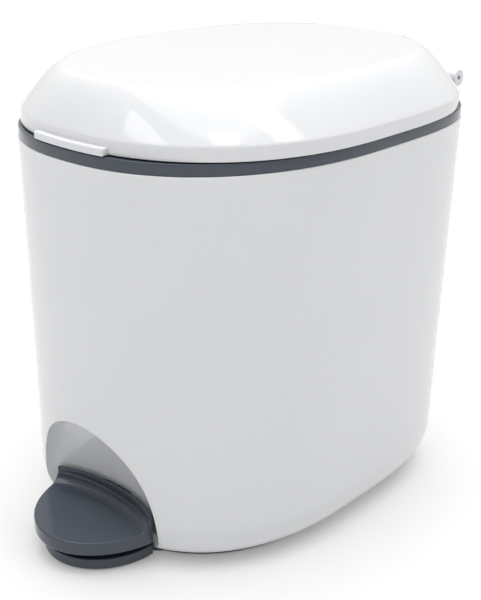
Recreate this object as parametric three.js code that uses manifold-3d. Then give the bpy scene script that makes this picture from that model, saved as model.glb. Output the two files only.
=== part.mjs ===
// A pedal trash can: a tapered plastic bin of egg-shaped plan with a domed hinged lid, a lift-out
// bucket, and a foot pedal whose lever and push rod raise the lid.
// Millimetres, +Z up, the pedal at the front towards -Y. The parts are drawn around the bin's own
// centre line, and the whole group is then shifted so that its origin lies on the floor under the
// middle of the footprint, pedal and hinge included.
import * as THREE from "three";
import { mergeVertices } from "three/addons/utils/BufferGeometryUtils.js";
import Module from "manifold-3d";

const wasm = await Module();
wasm.setup();

// ---- Driving dimensions ----

// Plan outline: halves of a superellipse, rounder at the front and squarer at the back.
const frontRoundness = 2.32;
const backRoundness = 3.64;

// Outer body
const bodyHeight = 300;
const bodyHalfLength = 166.8;
const bodyHalfWidth = 134.5;
const frontTaper = 3.7; // how far the foot of each side stands inside its top
const backTaper = 13.1;
const sideTaper = 1.6;
const bodyBottomRadius = 40;
const bodyWall = 2.2;
const bodyRimBevel = 0.8;
const edgeLevels = 7; // levels on the rounded lower edge
const edgeCrowding = 1.6; // how strongly they crowd towards the floor

// Pedal recess: an upright half-egg hollow in the front of the body
const recessHalfWidth = 67;
const recessDepth = 30;
const recessRise = 82;
const recessCentreZ = 21;
const recessCentreInset = 3.1;
const slotClearance = 3;
const slotOverSaddle = 1.8;

// Base plate and its front tongue
const plateBottom = 1.2;
const plateThickness = 2.4;
const plateInset = 24;
const tongueHalfLength = 52;
const tongueTop = 9.8;
const tongueWall = 2.5;
const shoulderHalfLength = 30;

// Feet and base screws
const footRadius = 9;
const footPocketDepth = 1;
const footSideInset = 62.9;
const footFrontInset = 91.1;
const footBackInset = 65.7;
const baseScrewSideInset = 40.9;
const baseScrewFrontInset = 123.1;
const baseScrewBackInset = 91.7;
const bossRadius = 5;
const bossHeight = 12;
const screwRadius = 1.9;
const screwHeadRadius = 3.8;
const screwHeadHeight = 1.6;
const screwDomeShare = 0.8; // the flat of a screw's head, of the head's radius
const screwPadHeight = 2.4;
const screwPadRim = 2;

// Collar ring between the body and the lid
const collarHeight = 7.9;
const collarInset = 0.7;
const collarBandWidth = 5.3;
const collarBevel = 0.6;
const collarDeck = 2.5;
const collarSkirtDepth = 10;
const collarSkirtWall = 2;
const collarSkirtPlay = 0.5;

// Inner bucket
const bucketBottom = 58;
const bucketWall = 2;
const bucketCornerRadius = 12;
const bucketBaseSideInset = 32.9;
const bucketBaseBackInset = 32.7;
const bucketTopSideInset = 16.5;
const bucketTopFrontInset = 20.8;
const bucketTopBackInset = 35.8;
const bucketRimWidth = 8;
const bucketRimThickness = 2;
const bucketHoleClearance = 1.5;
const bucketFrontClearance = 33; // room for the lever's saddle and bearings
const bucketEdgeLevels = 4;

// Bucket handle, folded forward on the bucket's rim
const handleWireRadius = 2;
const handleFrontInset = 15;
const earHalfLength = 6;
const earThickness = 5;
const earHeight = 8.4;
const gripRadius = 5;
const gripShare = 0.24; // the grip's share of the wire's length
const wireOverhang = 2.5; // of the wire's end beyond its ear
const wireNeck = 6.5; // how far inside the ear the wire turns forwards
const wireNeckBend = [[0, -0.1], [3, -3], [4.5, -9], [7.5, -40]]; // further in, and forwards
const wireFrontBend = [[25.5, 0.67], [69.5, 0.93]]; // further in, and share of the way forwards

// Lid: insets of the skirt from the body's top outline, then of the panel from the crease
const lidGap = 0.95;
const lidWall = 2.5;
const skirtHeight = 9.4;
const skirtFrontInset = 5.5;
const skirtBackInset = 12.3;
const skirtSideOverhang = 2.3;
const creaseBackFlare = 2.65;
const creaseFlare = 0.25;
const panelRise = 31.45;
const panelFrontInset = 23;
const panelBackInset = 1.2;
const panelSideInset = 33;
const panelFrontRoundness = 2.24;
const panelBackRoundness = 2.58;
const panelDish = 1;
const panelDishEdge = 0.9; // where the dish starts, of the way out from the panel's centre
const panelDishEdgeShare = 0.6; // and how much of the dish it has there
const shoulderSkinShare = 0.6; // wall at the panel's edge seen from above, of the skirt's wall
const shoulderLevels = 8;
const shoulderPower = 1.4;
const tabHalfWidth = 34.5;
const tabReach = 5;
const tabThickness = 5.4;
const tabDrop = 0.5;
const tabDepth = 30; // how far back the tab's block runs before it is trimmed to the skirt
const tabCornerRadius = 6;

// Hinge behind the lid
const hingeRise = 10.85; // above the lid's lower edge
const hingeHousingHalfLength = 91;
const hingeBarrelRadius = 6.5;
const barrelGap = 0.85;
const knuckleRadius = 6;
const hingePinRadius = 2;
const hingePinSetback = 2;
const neckOverhang = 3;
const armCentreX = 50;
const armWidth = 14;
const armTrim = 1; // how much lower than its knuckle an arm is, above and below
const armClearance = 1;
const apronHalfWidth = 60;
const apronThickness = 2.4;
const housingScrewX = 28;
const housingScrewLength = 9;
const housingScrewHeadRadius = 3;
const housingScrewHeadHeight = 1;

// Crank on the lid, and the push rod that lifts it
const crankRadius = 22;
const crankAngle = 37.5; // degrees below level with the lid shut
const crankThickness = 4;
const crankMargin = 2.2;
const crankClearance = 3.5; // in front of the upper hook
const crankSlotHalfWidth = 3.2;
const crankSlotInner = 18;
const crankSlotOuter = 23.8;
const rodRadius = 2;
const rodX = 5.5;
const hookReach = 5.5;

// Bracket under the lid that carries the arms and the crank
const bracketHalfWidth = 62;
const bracketThickness = 3.5;
const bracketSetback = 20.8; // in front of the hinge pin
const bracketRise = 16;
const bracketDrop = 8.5;
const bracketScrewX = 30;
const bracketScrewRise = 9;
const bracketScrewLength = 11;

// Pedal
const pedalSideGap = 13;
const pedalHalfLength = 68;
const pedalSetback = 27; // of its centre behind the recess's centre
const pedalTop = 28;
const pedalBottom = 17;
const pedalWall = 3;
const pedalBackGap = 3.4; // between its low back wall and the recess
const pedalBackWall = 3.2;
const pedalWallTop = 40;
const pedalFillet = 9; // where the pad sweeps up into the back wall
const pedalFilletLevels = 6;
const tongueInset = 8;
const tongueSetback = 18.5;
const tongueBackGap = 1.2;
const shoulderSideGap = 13;
const shoulderSetback = 42;

// Pedal lever and its axle
const pivotSetback = 46; // behind the back of the recess
const pivotZ = 32;
const leverHalfWidth = 12;
const leverOverlap = 1;
const leverBottom = 23;
const leverTop = 32;
const leverSheet = 2.5;
const bladeLength = 15;
const bladeThickness = 4;
const leverEndZ = 37;
const leverEndRadius = 5;
const hubRadius = 8;
const hubHalfLength = 16;
const axleRadius = 3;
const bearingThickness = 6;
const bearingGap = 1;
const bearingHalfDepth = 8;
const clipThickness = 1;
const clipReach = 2.4;
const saddleReach = 18; // behind the back of the recess
const saddleThickness = 3.4;
const saddleOverlap = 2.5;
const pedalScrewMargin = 8;
const pedalScrewPitch = 10;
const pedalScrewHeadRadius = 3.2;
const pedalScrewLength = 4.9;

// Clearances
const restGap = 0.3; // between pieces that touch
const runGap = 0.3; // between a pin and its hole
const cutOver = 1; // how far a cutter runs past what it cuts

// Fineness
const planSegments = 44;
const recessSegments = 28;
const roundSegments = 24;
const smallSegments = 16;
const screwSegments = 12;
const gripSegments = 12;
const wireSegments = 8;
const wireSteps = 56;
const tabSegments = 5;
const mergeDistance = 1e-4;

// ---- Places worked out from the driving dimensions ----

const baseFrontY = -bodyHalfLength + frontTaper;
const baseBackY = bodyHalfLength - backTaper;
const baseHalfWidth = bodyHalfWidth - sideTaper;

const plateTop = plateBottom + plateThickness;
const bodyBottom = plateTop + restGap;
const screwPadTop = plateTop + screwPadHeight;
const footTop = plateBottom + footPocketDepth - restGap;

const recessCentreY = baseFrontY + recessCentreInset;
const recessBackY = recessCentreY + recessDepth;

const collarBottom = bodyHeight + restGap;
const collarTop = collarBottom + collarHeight;
const deckTop = collarBottom + collarDeck;
const rimBottom = deckTop + restGap;
const rimTop = rimBottom + bucketRimThickness;
const housingScrewZ = collarBottom + collarHeight / 2 + collarBevel;

const bucketTopHalfWidth = bodyHalfWidth - bucketTopSideInset;
const earOuterX = bucketTopHalfWidth + bucketRimWidth - bucketRimThickness;
const handleZ = rimTop + earHeight / 2;
const handleFrontY = -bodyHalfLength + bucketTopFrontInset + handleFrontInset;

const lidBottom = collarTop + lidGap;
const creaseZ = lidBottom + skirtHeight;
const lidTop = creaseZ + panelRise;
const skirtFrontY = -bodyHalfLength + skirtFrontInset;
const skirtBackY = bodyHalfLength - skirtBackInset;
const skirtHalfWidth = bodyHalfWidth + skirtSideOverhang;
const creaseFrontY = skirtFrontY + creaseFlare;
const creaseBackY = skirtBackY + creaseBackFlare;
const creaseHalfWidth = skirtHalfWidth + creaseFlare;

const hingeY = creaseBackY + barrelGap + hingeBarrelRadius;
const hingeZ = lidBottom + hingeRise;
const hingeRearY = hingeY + hingeBarrelRadius;
const bracketBackY = hingeY - bracketSetback;
const bracketFrontY = bracketBackY - bracketThickness;
const bracketScrewZ = hingeZ + bracketScrewRise;

const crankTurn = THREE.MathUtils.degToRad(crankAngle);
const rodY = hingeY - crankRadius * Math.cos(crankTurn);
const rodTopZ = hingeZ - crankRadius * Math.sin(crankTurn);
const rodSlotHalfWidth = rodX + 2 * rodRadius;

const pedalHalfWidth = recessHalfWidth - pedalSideGap;
const pedalCentreY = recessCentreY + pedalSetback;
const pedalFrontY = pedalCentreY - pedalHalfLength;
const pedalBackY = recessBackY - pedalBackGap;
const saddleBackY = recessBackY + saddleReach;
const pedalScrewYs = [pedalBackY + pedalScrewMargin, pedalBackY + pedalScrewMargin + pedalScrewPitch];
const pivotY = recessBackY + pivotSetback;
const leverFrontY = pedalBackY - leverOverlap;
const leverBackY = rodY - bladeLength;
const bearingInnerX = hubHalfLength + bearingGap;
const bearingOuterX = bearingInnerX + bearingThickness;
const clipX = bearingOuterX + restGap;
const axleEndX = clipX + 2 * clipThickness;

const footprintCentreY = (pedalFrontY + hingeRearY) / 2;

// ---- Plans ----

const mix = THREE.MathUtils.lerp;

function plan(halfWidth, halfLength, centreY, front = frontRoundness, back = backRoundness) {
  return { halfWidth, halfLength, centreY, front, back };
}

function mixPlans(a, b, t) {
  return plan(
    mix(a.halfWidth, b.halfWidth, t),
    mix(a.halfLength, b.halfLength, t),
    mix(a.centreY, b.centreY, t),
    mix(a.front, b.front, t),
    mix(a.back, b.back, t),
  );
}

function planBetween(halfWidth, frontY, backY, front, back) {
  return plan(halfWidth, (backY - frontY) / 2, (backY + frontY) / 2, front, back);
}

const bodyBasePlan = planBetween(baseHalfWidth, baseFrontY, baseBackY);
const bodyTopPlan = planBetween(bodyHalfWidth, -bodyHalfLength, bodyHalfLength);

function bodyPlan(z) {
  return mixPlans(bodyBasePlan, bodyTopPlan, z / bodyHeight);
}

const bucketBasePlan = planBetween(
  baseHalfWidth - bucketBaseSideInset,
  recessBackY + bucketFrontClearance,
  baseBackY - bucketBaseBackInset,
);
const bucketTopPlan = planBetween(
  bucketTopHalfWidth,
  -bodyHalfLength + bucketTopFrontInset,
  bodyHalfLength - bucketTopBackInset,
);

function bucketPlan(z) {
  return mixPlans(bucketBasePlan, bucketTopPlan, (z - bucketBottom) / (rimTop - bucketBottom));
}

const skirtPlan = planBetween(skirtHalfWidth, skirtFrontY, skirtBackY);
const creasePlan = planBetween(creaseHalfWidth, creaseFrontY, creaseBackY);
const panelPlan = planBetween(
  creaseHalfWidth - panelSideInset,
  creaseFrontY + panelFrontInset,
  creaseBackY - panelBackInset,
  panelFrontRoundness,
  panelBackRoundness,
);

// The outline's point in one direction from the plan's centre.
function outlinePoint(shape, angle) {
  const across = Math.cos(angle);
  const along = Math.sin(angle);
  const power = along < 0 ? shape.front : shape.back;
  const sum =
    Math.abs(across / shape.halfWidth) ** power + Math.abs(along / shape.halfLength) ** power;
  const reach = sum ** (-1 / power);
  return new THREE.Vector2(reach * across, reach * along);
}

// The same point moved inwards along the outline's normal, in the bin's frame.
function insetPoint(shape, angle, inset, share) {
  const step = 1e-3;
  const point = outlinePoint(shape, angle);
  const tangent = outlinePoint(shape, angle + step).sub(outlinePoint(shape, angle - step));
  const inward = new THREE.Vector2(-tangent.y, tangent.x).normalize();
  point.addScaledVector(inward, inset).multiplyScalar(share);
  point.y += shape.centreY;
  return point;
}

// ---- Solids ----

// A geometry made a solid that can be joined and cut.
function solidOf(geometry) {
  const bare = geometry.clone();
  bare.deleteAttribute("normal");
  bare.deleteAttribute("uv");
  const merged = mergeVertices(bare, mergeDistance);
  const corners = merged.index.array;
  const kept = [];
  for (let i = 0; i < corners.length; i += 3) {
    const [a, b, c] = corners.subarray(i, i + 3);
    if (a !== b && b !== c && c !== a) kept.push(a, b, c);
  }
  const mesh = new wasm.Mesh({
    numProp: 3,
    vertProperties: merged.attributes.position.array,
    triVerts: new Uint32Array(kept),
  });
  return new wasm.Manifold(mesh);
}

// A loft: a lathe whose rings are drawn out to plan outlines. Each level has a height, a plan,
// an inset from its outline, and a share of the way out from the plan's centre.
function loft(levels, segments = planSegments) {
  const profile = levels.map((level, i) => new THREE.Vector2(level.share === 0 ? 0 : 1, i));
  const lathe = new THREE.LatheGeometry(profile, segments);
  const position = lathe.attributes.position;
  for (let turn = 0; turn <= segments; turn++) {
    const angle = ((turn % segments) * 2 * Math.PI) / segments;
    levels.forEach((level, i) => {
      const share = level.share ?? 1;
      const point = insetPoint(level.plan, angle, level.inset ?? 0, share);
      position.setXYZ(turn * levels.length + i, point.x, point.y, level.z);
    });
  }
  return solidOf(lathe);
}

// A flat slab of one plan between two heights.
function slab(shape, inset, bottom, top) {
  return loft([
    { z: bottom, plan: shape, share: 0 },
    { z: bottom, plan: shape, inset },
    { z: top, plan: shape, inset },
    { z: top, plan: shape, share: 0 },
  ]);
}

function box(x0, x1, y0, y1, z0, z1) {
  const geometry = new THREE.BoxGeometry(x1 - x0, y1 - y0, z1 - z0);
  return solidOf(geometry.translate((x0 + x1) / 2, (y0 + y1) / 2, (z0 + z1) / 2));
}

function barX(radius, x0, x1, y, z, segments = smallSegments) {
  const geometry = new THREE.CylinderGeometry(radius, radius, x1 - x0, segments);
  geometry.rotateX(Math.PI / 2).rotateY(Math.PI / 2);
  return solidOf(geometry.translate((x0 + x1) / 2, y, z));
}

function barY(radius, y0, y1, x, z, segments = smallSegments) {
  const geometry = new THREE.CylinderGeometry(radius, radius, y1 - y0, segments);
  return solidOf(geometry.translate(x, (y0 + y1) / 2, z));
}

function barZ(radius, z0, z1, x, y, segments = smallSegments) {
  const geometry = new THREE.CylinderGeometry(radius, radius, z1 - z0, segments);
  return solidOf(geometry.rotateX(Math.PI / 2).translate(x, y, (z0 + z1) / 2));
}

// An upright elliptic slab.
function oval(halfWidth, halfLength, centreY, bottom, top, segments = planSegments) {
  const geometry = new THREE.CylinderGeometry(1, 1, top - bottom, segments);
  geometry.rotateX(Math.PI / 2).scale(halfWidth, halfLength, 1);
  return solidOf(geometry.translate(0, centreY, (bottom + top) / 2));
}

// A shape drawn in the Y-Z plane and given a thickness about x = 0.
function sidePlate(shape, halfThickness) {
  const geometry = new THREE.ExtrudeGeometry(shape, {
    depth: 2 * halfThickness,
    bevelEnabled: false,
    curveSegments: smallSegments / 2,
  });
  geometry.rotateX(Math.PI / 2).rotateZ(Math.PI / 2);
  return solidOf(geometry.translate(-halfThickness, 0, 0));
}

function joined(...solids) {
  return solids.reduce((whole, solid) => whole.add(solid));
}

function cut(solid, ...cutters) {
  return cutters.reduce((rest, cutter) => rest.subtract(cutter), solid);
}

// ---- The object ----

const finishes = {
  whitePlastic: { color: 0xe6e7e9, roughness: 0.25, metalness: 0 },
  slatePlastic: { color: 0x42474f, roughness: 0.3, metalness: 0 },
  greyPlastic: { color: 0x6f747a, roughness: 0.5, metalness: 0 },
  steel: { color: 0xb9bcc0, roughness: 0.35, metalness: 1 },
  rubber: { color: 0x26282b, roughness: 0.85, metalness: 0 },
};

const bin = new THREE.Group();
bin.position.y = -footprintCentreY;

function addPart(name, solid, finish) {
  const mesh = solid.getMesh();
  const geometry = new THREE.BufferGeometry();
  geometry.setAttribute("position", new THREE.BufferAttribute(mesh.vertProperties, 3));
  geometry.setIndex(new THREE.BufferAttribute(mesh.triVerts, 1));
  const faceted = geometry.toNonIndexed();
  faceted.computeVertexNormals();
  const part = new THREE.Mesh(faceted, new THREE.MeshStandardMaterial(finishes[finish]));
  part.name = name;
  bin.add(part);
  return part;
}

// How far the rounded lower edge pulls in at a height, for a skin some way inside the surface.
function bottomInset(z, skin) {
  const radius = bodyBottomRadius - skin;
  const drop = Math.max(bodyBottomRadius - z, 0) / radius;
  return skin + radius * (1 - Math.sqrt(1 - Math.min(drop, 1) ** 2));
}

// Levels of the body's skin from its bottom edge to a top height.
function bodyLevels(skin, bottom, top, rim) {
  const levels = [{ z: bottom, plan: bodyPlan(bottom), share: 0 }];
  for (let i = 0; i <= edgeLevels; i++) {
    const z = mix(bottom, bodyBottomRadius, (i / edgeLevels) ** edgeCrowding);
    levels.push({ z, plan: bodyPlan(z), inset: bottomInset(z, skin) });
  }
  levels.push({ z: top - rim, plan: bodyPlan(top - rim), inset: skin });
  if (rim > 0) levels.push({ z: top, plan: bodyPlan(top), inset: skin + rim });
  levels.push({ z: top, plan: bodyPlan(top), share: 0 });
  return levels;
}

// The recess as a solid, grown outwards by a wall: an egg top on an upright oval.
function recess(grow) {
  const egg = new THREE.SphereGeometry(1, recessSegments, recessSegments / 2);
  egg.rotateX(Math.PI / 2);
  egg.scale(recessHalfWidth + grow, recessDepth + grow, recessRise + grow);
  egg.translate(0, recessCentreY, recessCentreZ);
  const foot = oval(
    recessHalfWidth + grow,
    recessDepth + grow,
    recessCentreY,
    -cutOver,
    recessCentreZ,
    recessSegments,
  );
  return solidOf(egg).add(foot);
}

// The plan of the recess drawn inwards by a gap, and everything in front of its middle.
function recessFootprint(gap, bottom, top) {
  const back = oval(recessHalfWidth - gap, recessDepth - gap, recessCentreY, bottom, top);
  return back.add(box(-bodyHalfWidth, bodyHalfWidth, -2 * bodyHalfLength, recessCentreY,
    bottom, top));
}

// The four corners of a rectangle that lies inside the base by these insets.
function cornerPlaces(sideInset, frontInset, backInset) {
  const places = [];
  for (const side of [-1, 1]) {
    places.push([side * (baseHalfWidth - sideInset), baseFrontY + frontInset]);
    places.push([side * (baseHalfWidth - sideInset), baseBackY - backInset]);
  }
  return places;
}

const baseScrewPlaces = cornerPlaces(
  baseScrewSideInset,
  baseScrewFrontInset,
  baseScrewBackInset,
);
const footPlaces = cornerPlaces(footSideInset, footFrontInset, footBackInset);

// A screw boss and the rib that ties it to the side wall.
function bossAndRib([x, y], bottom, top) {
  const wallX = Math.sign(x) * bodyHalfWidth;
  const boss = barZ(bossRadius, bottom, top, x, y);
  const rib = box(Math.min(x, wallX), Math.max(x, wallX), y - bodyWall / 2, y + bodyWall / 2,
    bottom, top);
  return joined(boss, rib);
}

function makeOuterBody() {
  const outside = loft(bodyLevels(0, bodyBottom, bodyHeight, bodyRimBevel));
  const inside = loft(bodyLevels(bodyWall, bodyBottom - restGap, bodyHeight + cutOver, 0));
  const bossBottom = screwPadTop + restGap;
  const bossTop = bossBottom + bossHeight;
  const bosses = baseScrewPlaces.map((place) => bossAndRib(place, bossBottom, bossTop));
  const pilots = baseScrewPlaces.map(([x, y]) =>
    barZ(screwRadius + runGap, 0, bossTop + cutOver, x, y));
  const under = slab(bodyBasePlan, -bodyWall, -2 * cutOver, bodyBottom);
  const recessWall = recess(bodyWall).subtract(under);
  const slotHalf = leverHalfWidth + slotClearance;
  const leverSlot = box(-slotHalf, slotHalf, recessBackY - 3 * bodyWall, recessBackY + 3 * bodyWall,
    leverBottom - 3 * slotClearance, leverTop + restGap + saddleThickness + slotOverSaddle);
  const stock = joined(
    outside.subtract(inside),
    recessWall.intersect(outside),
    joined(...bosses).intersect(outside),
  );
  addPart("outer_body", cut(stock, recess(0), leverSlot, ...pilots), "whitePlastic");
}

// A bearing post for the pedal axle, standing on the plate.
function bearingPost(side) {
  const x0 = side < 0 ? -bearingOuterX : bearingInnerX;
  const x1 = x0 + bearingThickness;
  const post = box(x0, x1, pivotY - bearingHalfDepth, pivotY + bearingHalfDepth,
    plateTop - cutOver, pivotZ);
  const crown = barX(bearingHalfDepth, x0, x1, pivotY, pivotZ, roundSegments);
  return joined(post, crown);
}

function makeBasePlate() {
  const floor = slab(bodyBasePlan, plateInset, plateBottom, plateTop);
  const shoulders = oval(recessHalfWidth - shoulderSideGap, shoulderHalfLength,
    recessCentreY + shoulderSetback, plateBottom, plateTop);
  const tongueHalfWidth = pedalHalfWidth - tongueInset;
  const tongueCentreY = recessCentreY + tongueSetback;
  const tongue = oval(tongueHalfWidth, tongueHalfLength, tongueCentreY, plateBottom, tongueTop);
  const tongueHollow = oval(
    tongueHalfWidth - tongueWall, tongueHalfLength - tongueWall, tongueCentreY,
    plateBottom - cutOver, tongueTop - tongueWall,
  ).intersect(recessFootprint(tongueBackGap + tongueWall, plateBottom - cutOver, tongueTop));
  const pads = baseScrewPlaces.map(([x, y]) =>
    barZ(bossRadius + screwPadRim, plateTop - cutOver, screwPadTop, x, y));
  const inRecess = recessFootprint(tongueBackGap, plateBottom - cutOver, tongueTop + cutOver);
  const stock = joined(
    floor,
    shoulders,
    tongue.intersect(inRecess).subtract(tongueHollow),
    bearingPost(-1), bearingPost(1), ...pads,
  );
  const cutters = [
    barX(axleRadius + runGap, -bearingOuterX - cutOver, bearingOuterX + cutOver, pivotY, pivotZ),
  ];
  for (const [x, y] of baseScrewPlaces) {
    const headTop = plateBottom + restGap + screwHeadHeight + restGap;
    cutters.push(barZ(screwRadius + runGap, 0, screwPadTop + cutOver, x, y));
    cutters.push(barZ(screwHeadRadius + runGap, 0, headTop, x, y));
  }
  for (const [x, y] of footPlaces) {
    cutters.push(barZ(footRadius + restGap, 0, plateBottom + footPocketDepth, x, y, roundSegments));
  }
  addPart("base_plate", cut(stock, ...cutters), "slatePlastic");
}

function makeFeet() {
  footPlaces.forEach(([x, y], i) => {
    const solid = barZ(footRadius, 0, footTop, 0, 0, roundSegments);
    const foot = addPart(`foot_${i + 1}`, solid, "rubber");
    foot.position.set(x, y, 0);
  });
}

// A screw along +Z with the underside of its head at z = 0.
function screw(headRadius, headHeight, shankRadius, length) {
  const profile = [
    new THREE.Vector2(0, -headHeight),
    new THREE.Vector2(headRadius * screwDomeShare, -headHeight),
    new THREE.Vector2(headRadius, -headHeight / 2),
    new THREE.Vector2(headRadius, 0),
    new THREE.Vector2(shankRadius, 0),
    new THREE.Vector2(shankRadius, length - shankRadius),
    new THREE.Vector2(0, length),
  ];
  const lathe = new THREE.LatheGeometry(profile, screwSegments);
  return solidOf(lathe.rotateX(Math.PI / 2));
}

function makeBaseScrews() {
  const length = screwPadTop + bossHeight - plateBottom - screwHeadHeight;
  baseScrewPlaces.forEach(([x, y], i) => {
    const solid = screw(screwHeadRadius, screwHeadHeight, screwRadius, length);
    const part = addPart(`base_screw_${i + 1}`, solid, "steel");
    part.position.set(x, y, plateBottom + restGap + screwHeadHeight);
  });
}

function makeCollar() {
  const inner = collarInset + collarBandWidth;
  const band = loft([
    { z: collarBottom, plan: bodyTopPlan, share: 0 },
    { z: collarBottom, plan: bodyTopPlan, inset: collarInset },
    { z: collarTop - collarBevel, plan: bodyTopPlan, inset: collarInset },
    { z: collarTop, plan: bodyTopPlan, inset: collarInset + collarBevel },
    { z: collarTop, plan: bodyTopPlan, inset: inner },
    { z: deckTop, plan: bodyTopPlan, inset: inner },
    { z: deckTop, plan: bodyTopPlan, share: 0 },
  ]);
  const skirtBottom = collarBottom - collarSkirtDepth;
  const skirtInset = bodyWall + collarSkirtPlay;
  const skirt = slab(bodyPlan(skirtBottom), skirtInset, skirtBottom, collarBottom + cutOver);
  const skirtHollow = slab(
    bodyPlan(skirtBottom), skirtInset + collarSkirtWall, skirtBottom - cutOver, collarBottom,
  );
  const mouth = slab(
    bucketTopPlan, -bucketHoleClearance, skirtBottom - cutOver, collarTop + cutOver,
  );
  const crankSlot = box(
    -rodSlotHalfWidth, rodSlotHalfWidth,
    rodY - rodRadius - clipReach - crankClearance, bodyHalfLength - inner - restGap,
    skirtBottom, collarTop,
  );
  const pilots = [-housingScrewX, housingScrewX].map((x) =>
    barY(screwRadius + runGap, bodyHalfLength - 2 * inner, hingeRearY, x, housingScrewZ));
  const stock = joined(band, cut(skirt, skirtHollow));
  addPart("collar_ring", cut(stock, mouth, crankSlot, ...pilots), "slatePlastic");
}

function bucketLevels(skin, bottom, top) {
  const levels = [{ z: bottom, plan: bucketPlan(bottom), share: 0 }];
  const radius = bucketCornerRadius - skin;
  for (let i = 0; i <= bucketEdgeLevels; i++) {
    const turn = (i / bucketEdgeLevels) * (Math.PI / 2);
    const z = bottom + radius * (1 - Math.cos(turn));
    levels.push({ z, plan: bucketPlan(z), inset: skin + radius * (1 - Math.sin(turn)) });
  }
  levels.push({ z: top, plan: bucketPlan(top), inset: skin });
  levels.push({ z: top, plan: bucketPlan(top), share: 0 });
  return levels;
}

function makeBucket() {
  const outside = loft(bucketLevels(0, bucketBottom, rimTop));
  const inside = loft(bucketLevels(bucketWall, bucketBottom + bucketWall, rimTop + cutOver));
  const rim = slab(bucketTopPlan, -bucketRimWidth, rimBottom, rimTop);
  const ears = [-1, 1].map((side) => {
    const x0 = side < 0 ? -earOuterX : earOuterX - earThickness;
    return box(x0, x0 + earThickness, -earHalfLength, earHalfLength, rimTop - cutOver,
      rimTop + earHeight);
  });
  const bore = barX(handleWireRadius + runGap, -earOuterX - cutOver, earOuterX + cutOver, 0, handleZ);
  const stock = joined(cut(joined(outside, rim), inside), ...ears);
  addPart("inner_bucket", cut(stock, bore), "slatePlastic");
}

// The handle's wire: out through one ear, round the front of the rim and out through the other.
function handleCurve() {
  const neckX = earOuterX - wireNeck;
  const half = [
    [earOuterX + wireOverhang, 0],
    [earOuterX - earThickness / 2, 0],
    ...wireNeckBend.map(([inwards, y]) => [neckX - inwards, y]),
    ...wireFrontBend.map(([inwards, share]) => [neckX - inwards, share * handleFrontY]),
  ];
  const points = half.map(([x, y]) => new THREE.Vector3(x, y, handleZ));
  const mirrored = points.map((p) => new THREE.Vector3(-p.x, p.y, p.z)).reverse();
  const middle = new THREE.Vector3(0, handleFrontY, handleZ);
  return new THREE.CatmullRomCurve3([...points, middle, ...mirrored], false, "centripetal");
}

function disc(radius, segments) {
  const shape = new THREE.Shape();
  for (let i = 0; i < segments; i++) {
    const angle = (i / segments) * 2 * Math.PI;
    const step = [radius * Math.cos(angle), radius * Math.sin(angle)];
    if (i === 0) shape.moveTo(...step);
    else shape.lineTo(...step);
  }
  shape.closePath();
  return shape;
}

function makeHandle() {
  const curve = handleCurve();
  const wire = new THREE.ExtrudeGeometry(disc(handleWireRadius, wireSegments), {
    steps: wireSteps,
    extrudePath: curve,
  });
  addPart("bucket_handle", solidOf(wire), "steel");
  const gripShape = disc(gripRadius, gripSegments);
  gripShape.holes.push(disc(handleWireRadius + 2 * runGap, gripSegments));
  const points = [];
  for (let i = 0; i <= gripSegments; i++) {
    const share = (1 - gripShare) / 2 + (gripShare * i) / gripSegments;
    points.push(curve.getPointAt(share));
  }
  const sleeve = new THREE.ExtrudeGeometry(gripShape, {
    steps: gripSegments,
    extrudePath: new THREE.CatmullRomCurve3(points),
  });
  addPart("handle_grip", solidOf(sleeve), "greyPlastic");
}

// Levels of the lid's skin: an upright skirt, a swept shoulder and a slightly dished panel.
function lidLevels(skin, bottom) {
  const levels = [
    { z: bottom, plan: skirtPlan, share: 0 },
    { z: bottom, plan: skirtPlan, inset: skin },
  ];
  const top = lidTop - skin;
  for (let i = 0; i <= shoulderLevels; i++) {
    const u = i / shoulderLevels;
    levels.push({
      z: mix(creaseZ, top, 1 - (1 - u) ** shoulderPower),
      plan: mixPlans(creasePlan, panelPlan, u),
      inset: skin * mix(1, shoulderSkinShare, u),
    });
  }
  levels.push({ z: top - panelDishEdgeShare * panelDish, plan: panelPlan, share: panelDishEdge });
  levels.push({ z: top - panelDish, plan: panelPlan, share: 0 });
  return levels;
}

// The finger tab: a lip that follows the skirt's front.
function fingerTab() {
  const shape = new THREE.Shape();
  const front = skirtFrontY - tabReach;
  const back = front + tabDepth;
  const r = tabCornerRadius;
  shape.moveTo(-tabHalfWidth, back);
  shape.lineTo(-tabHalfWidth, front + r);
  shape.absarc(-tabHalfWidth + r, front + r, r, Math.PI, 1.5 * Math.PI, false);
  shape.lineTo(tabHalfWidth - r, front);
  shape.absarc(tabHalfWidth - r, front + r, r, 1.5 * Math.PI, 2 * Math.PI, false);
  shape.lineTo(tabHalfWidth, back);
  shape.closePath();
  const block = new THREE.ExtrudeGeometry(shape, {
    depth: 3 * tabThickness,
    bevelEnabled: false,
    curveSegments: tabSegments,
  });
  block.translate(0, 0, lidBottom - tabThickness);
  const lip = slab(skirtPlan, -tabReach, lidBottom - tabDrop, lidBottom - tabDrop + tabThickness);
  return solidOf(block).intersect(lip);
}

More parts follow.
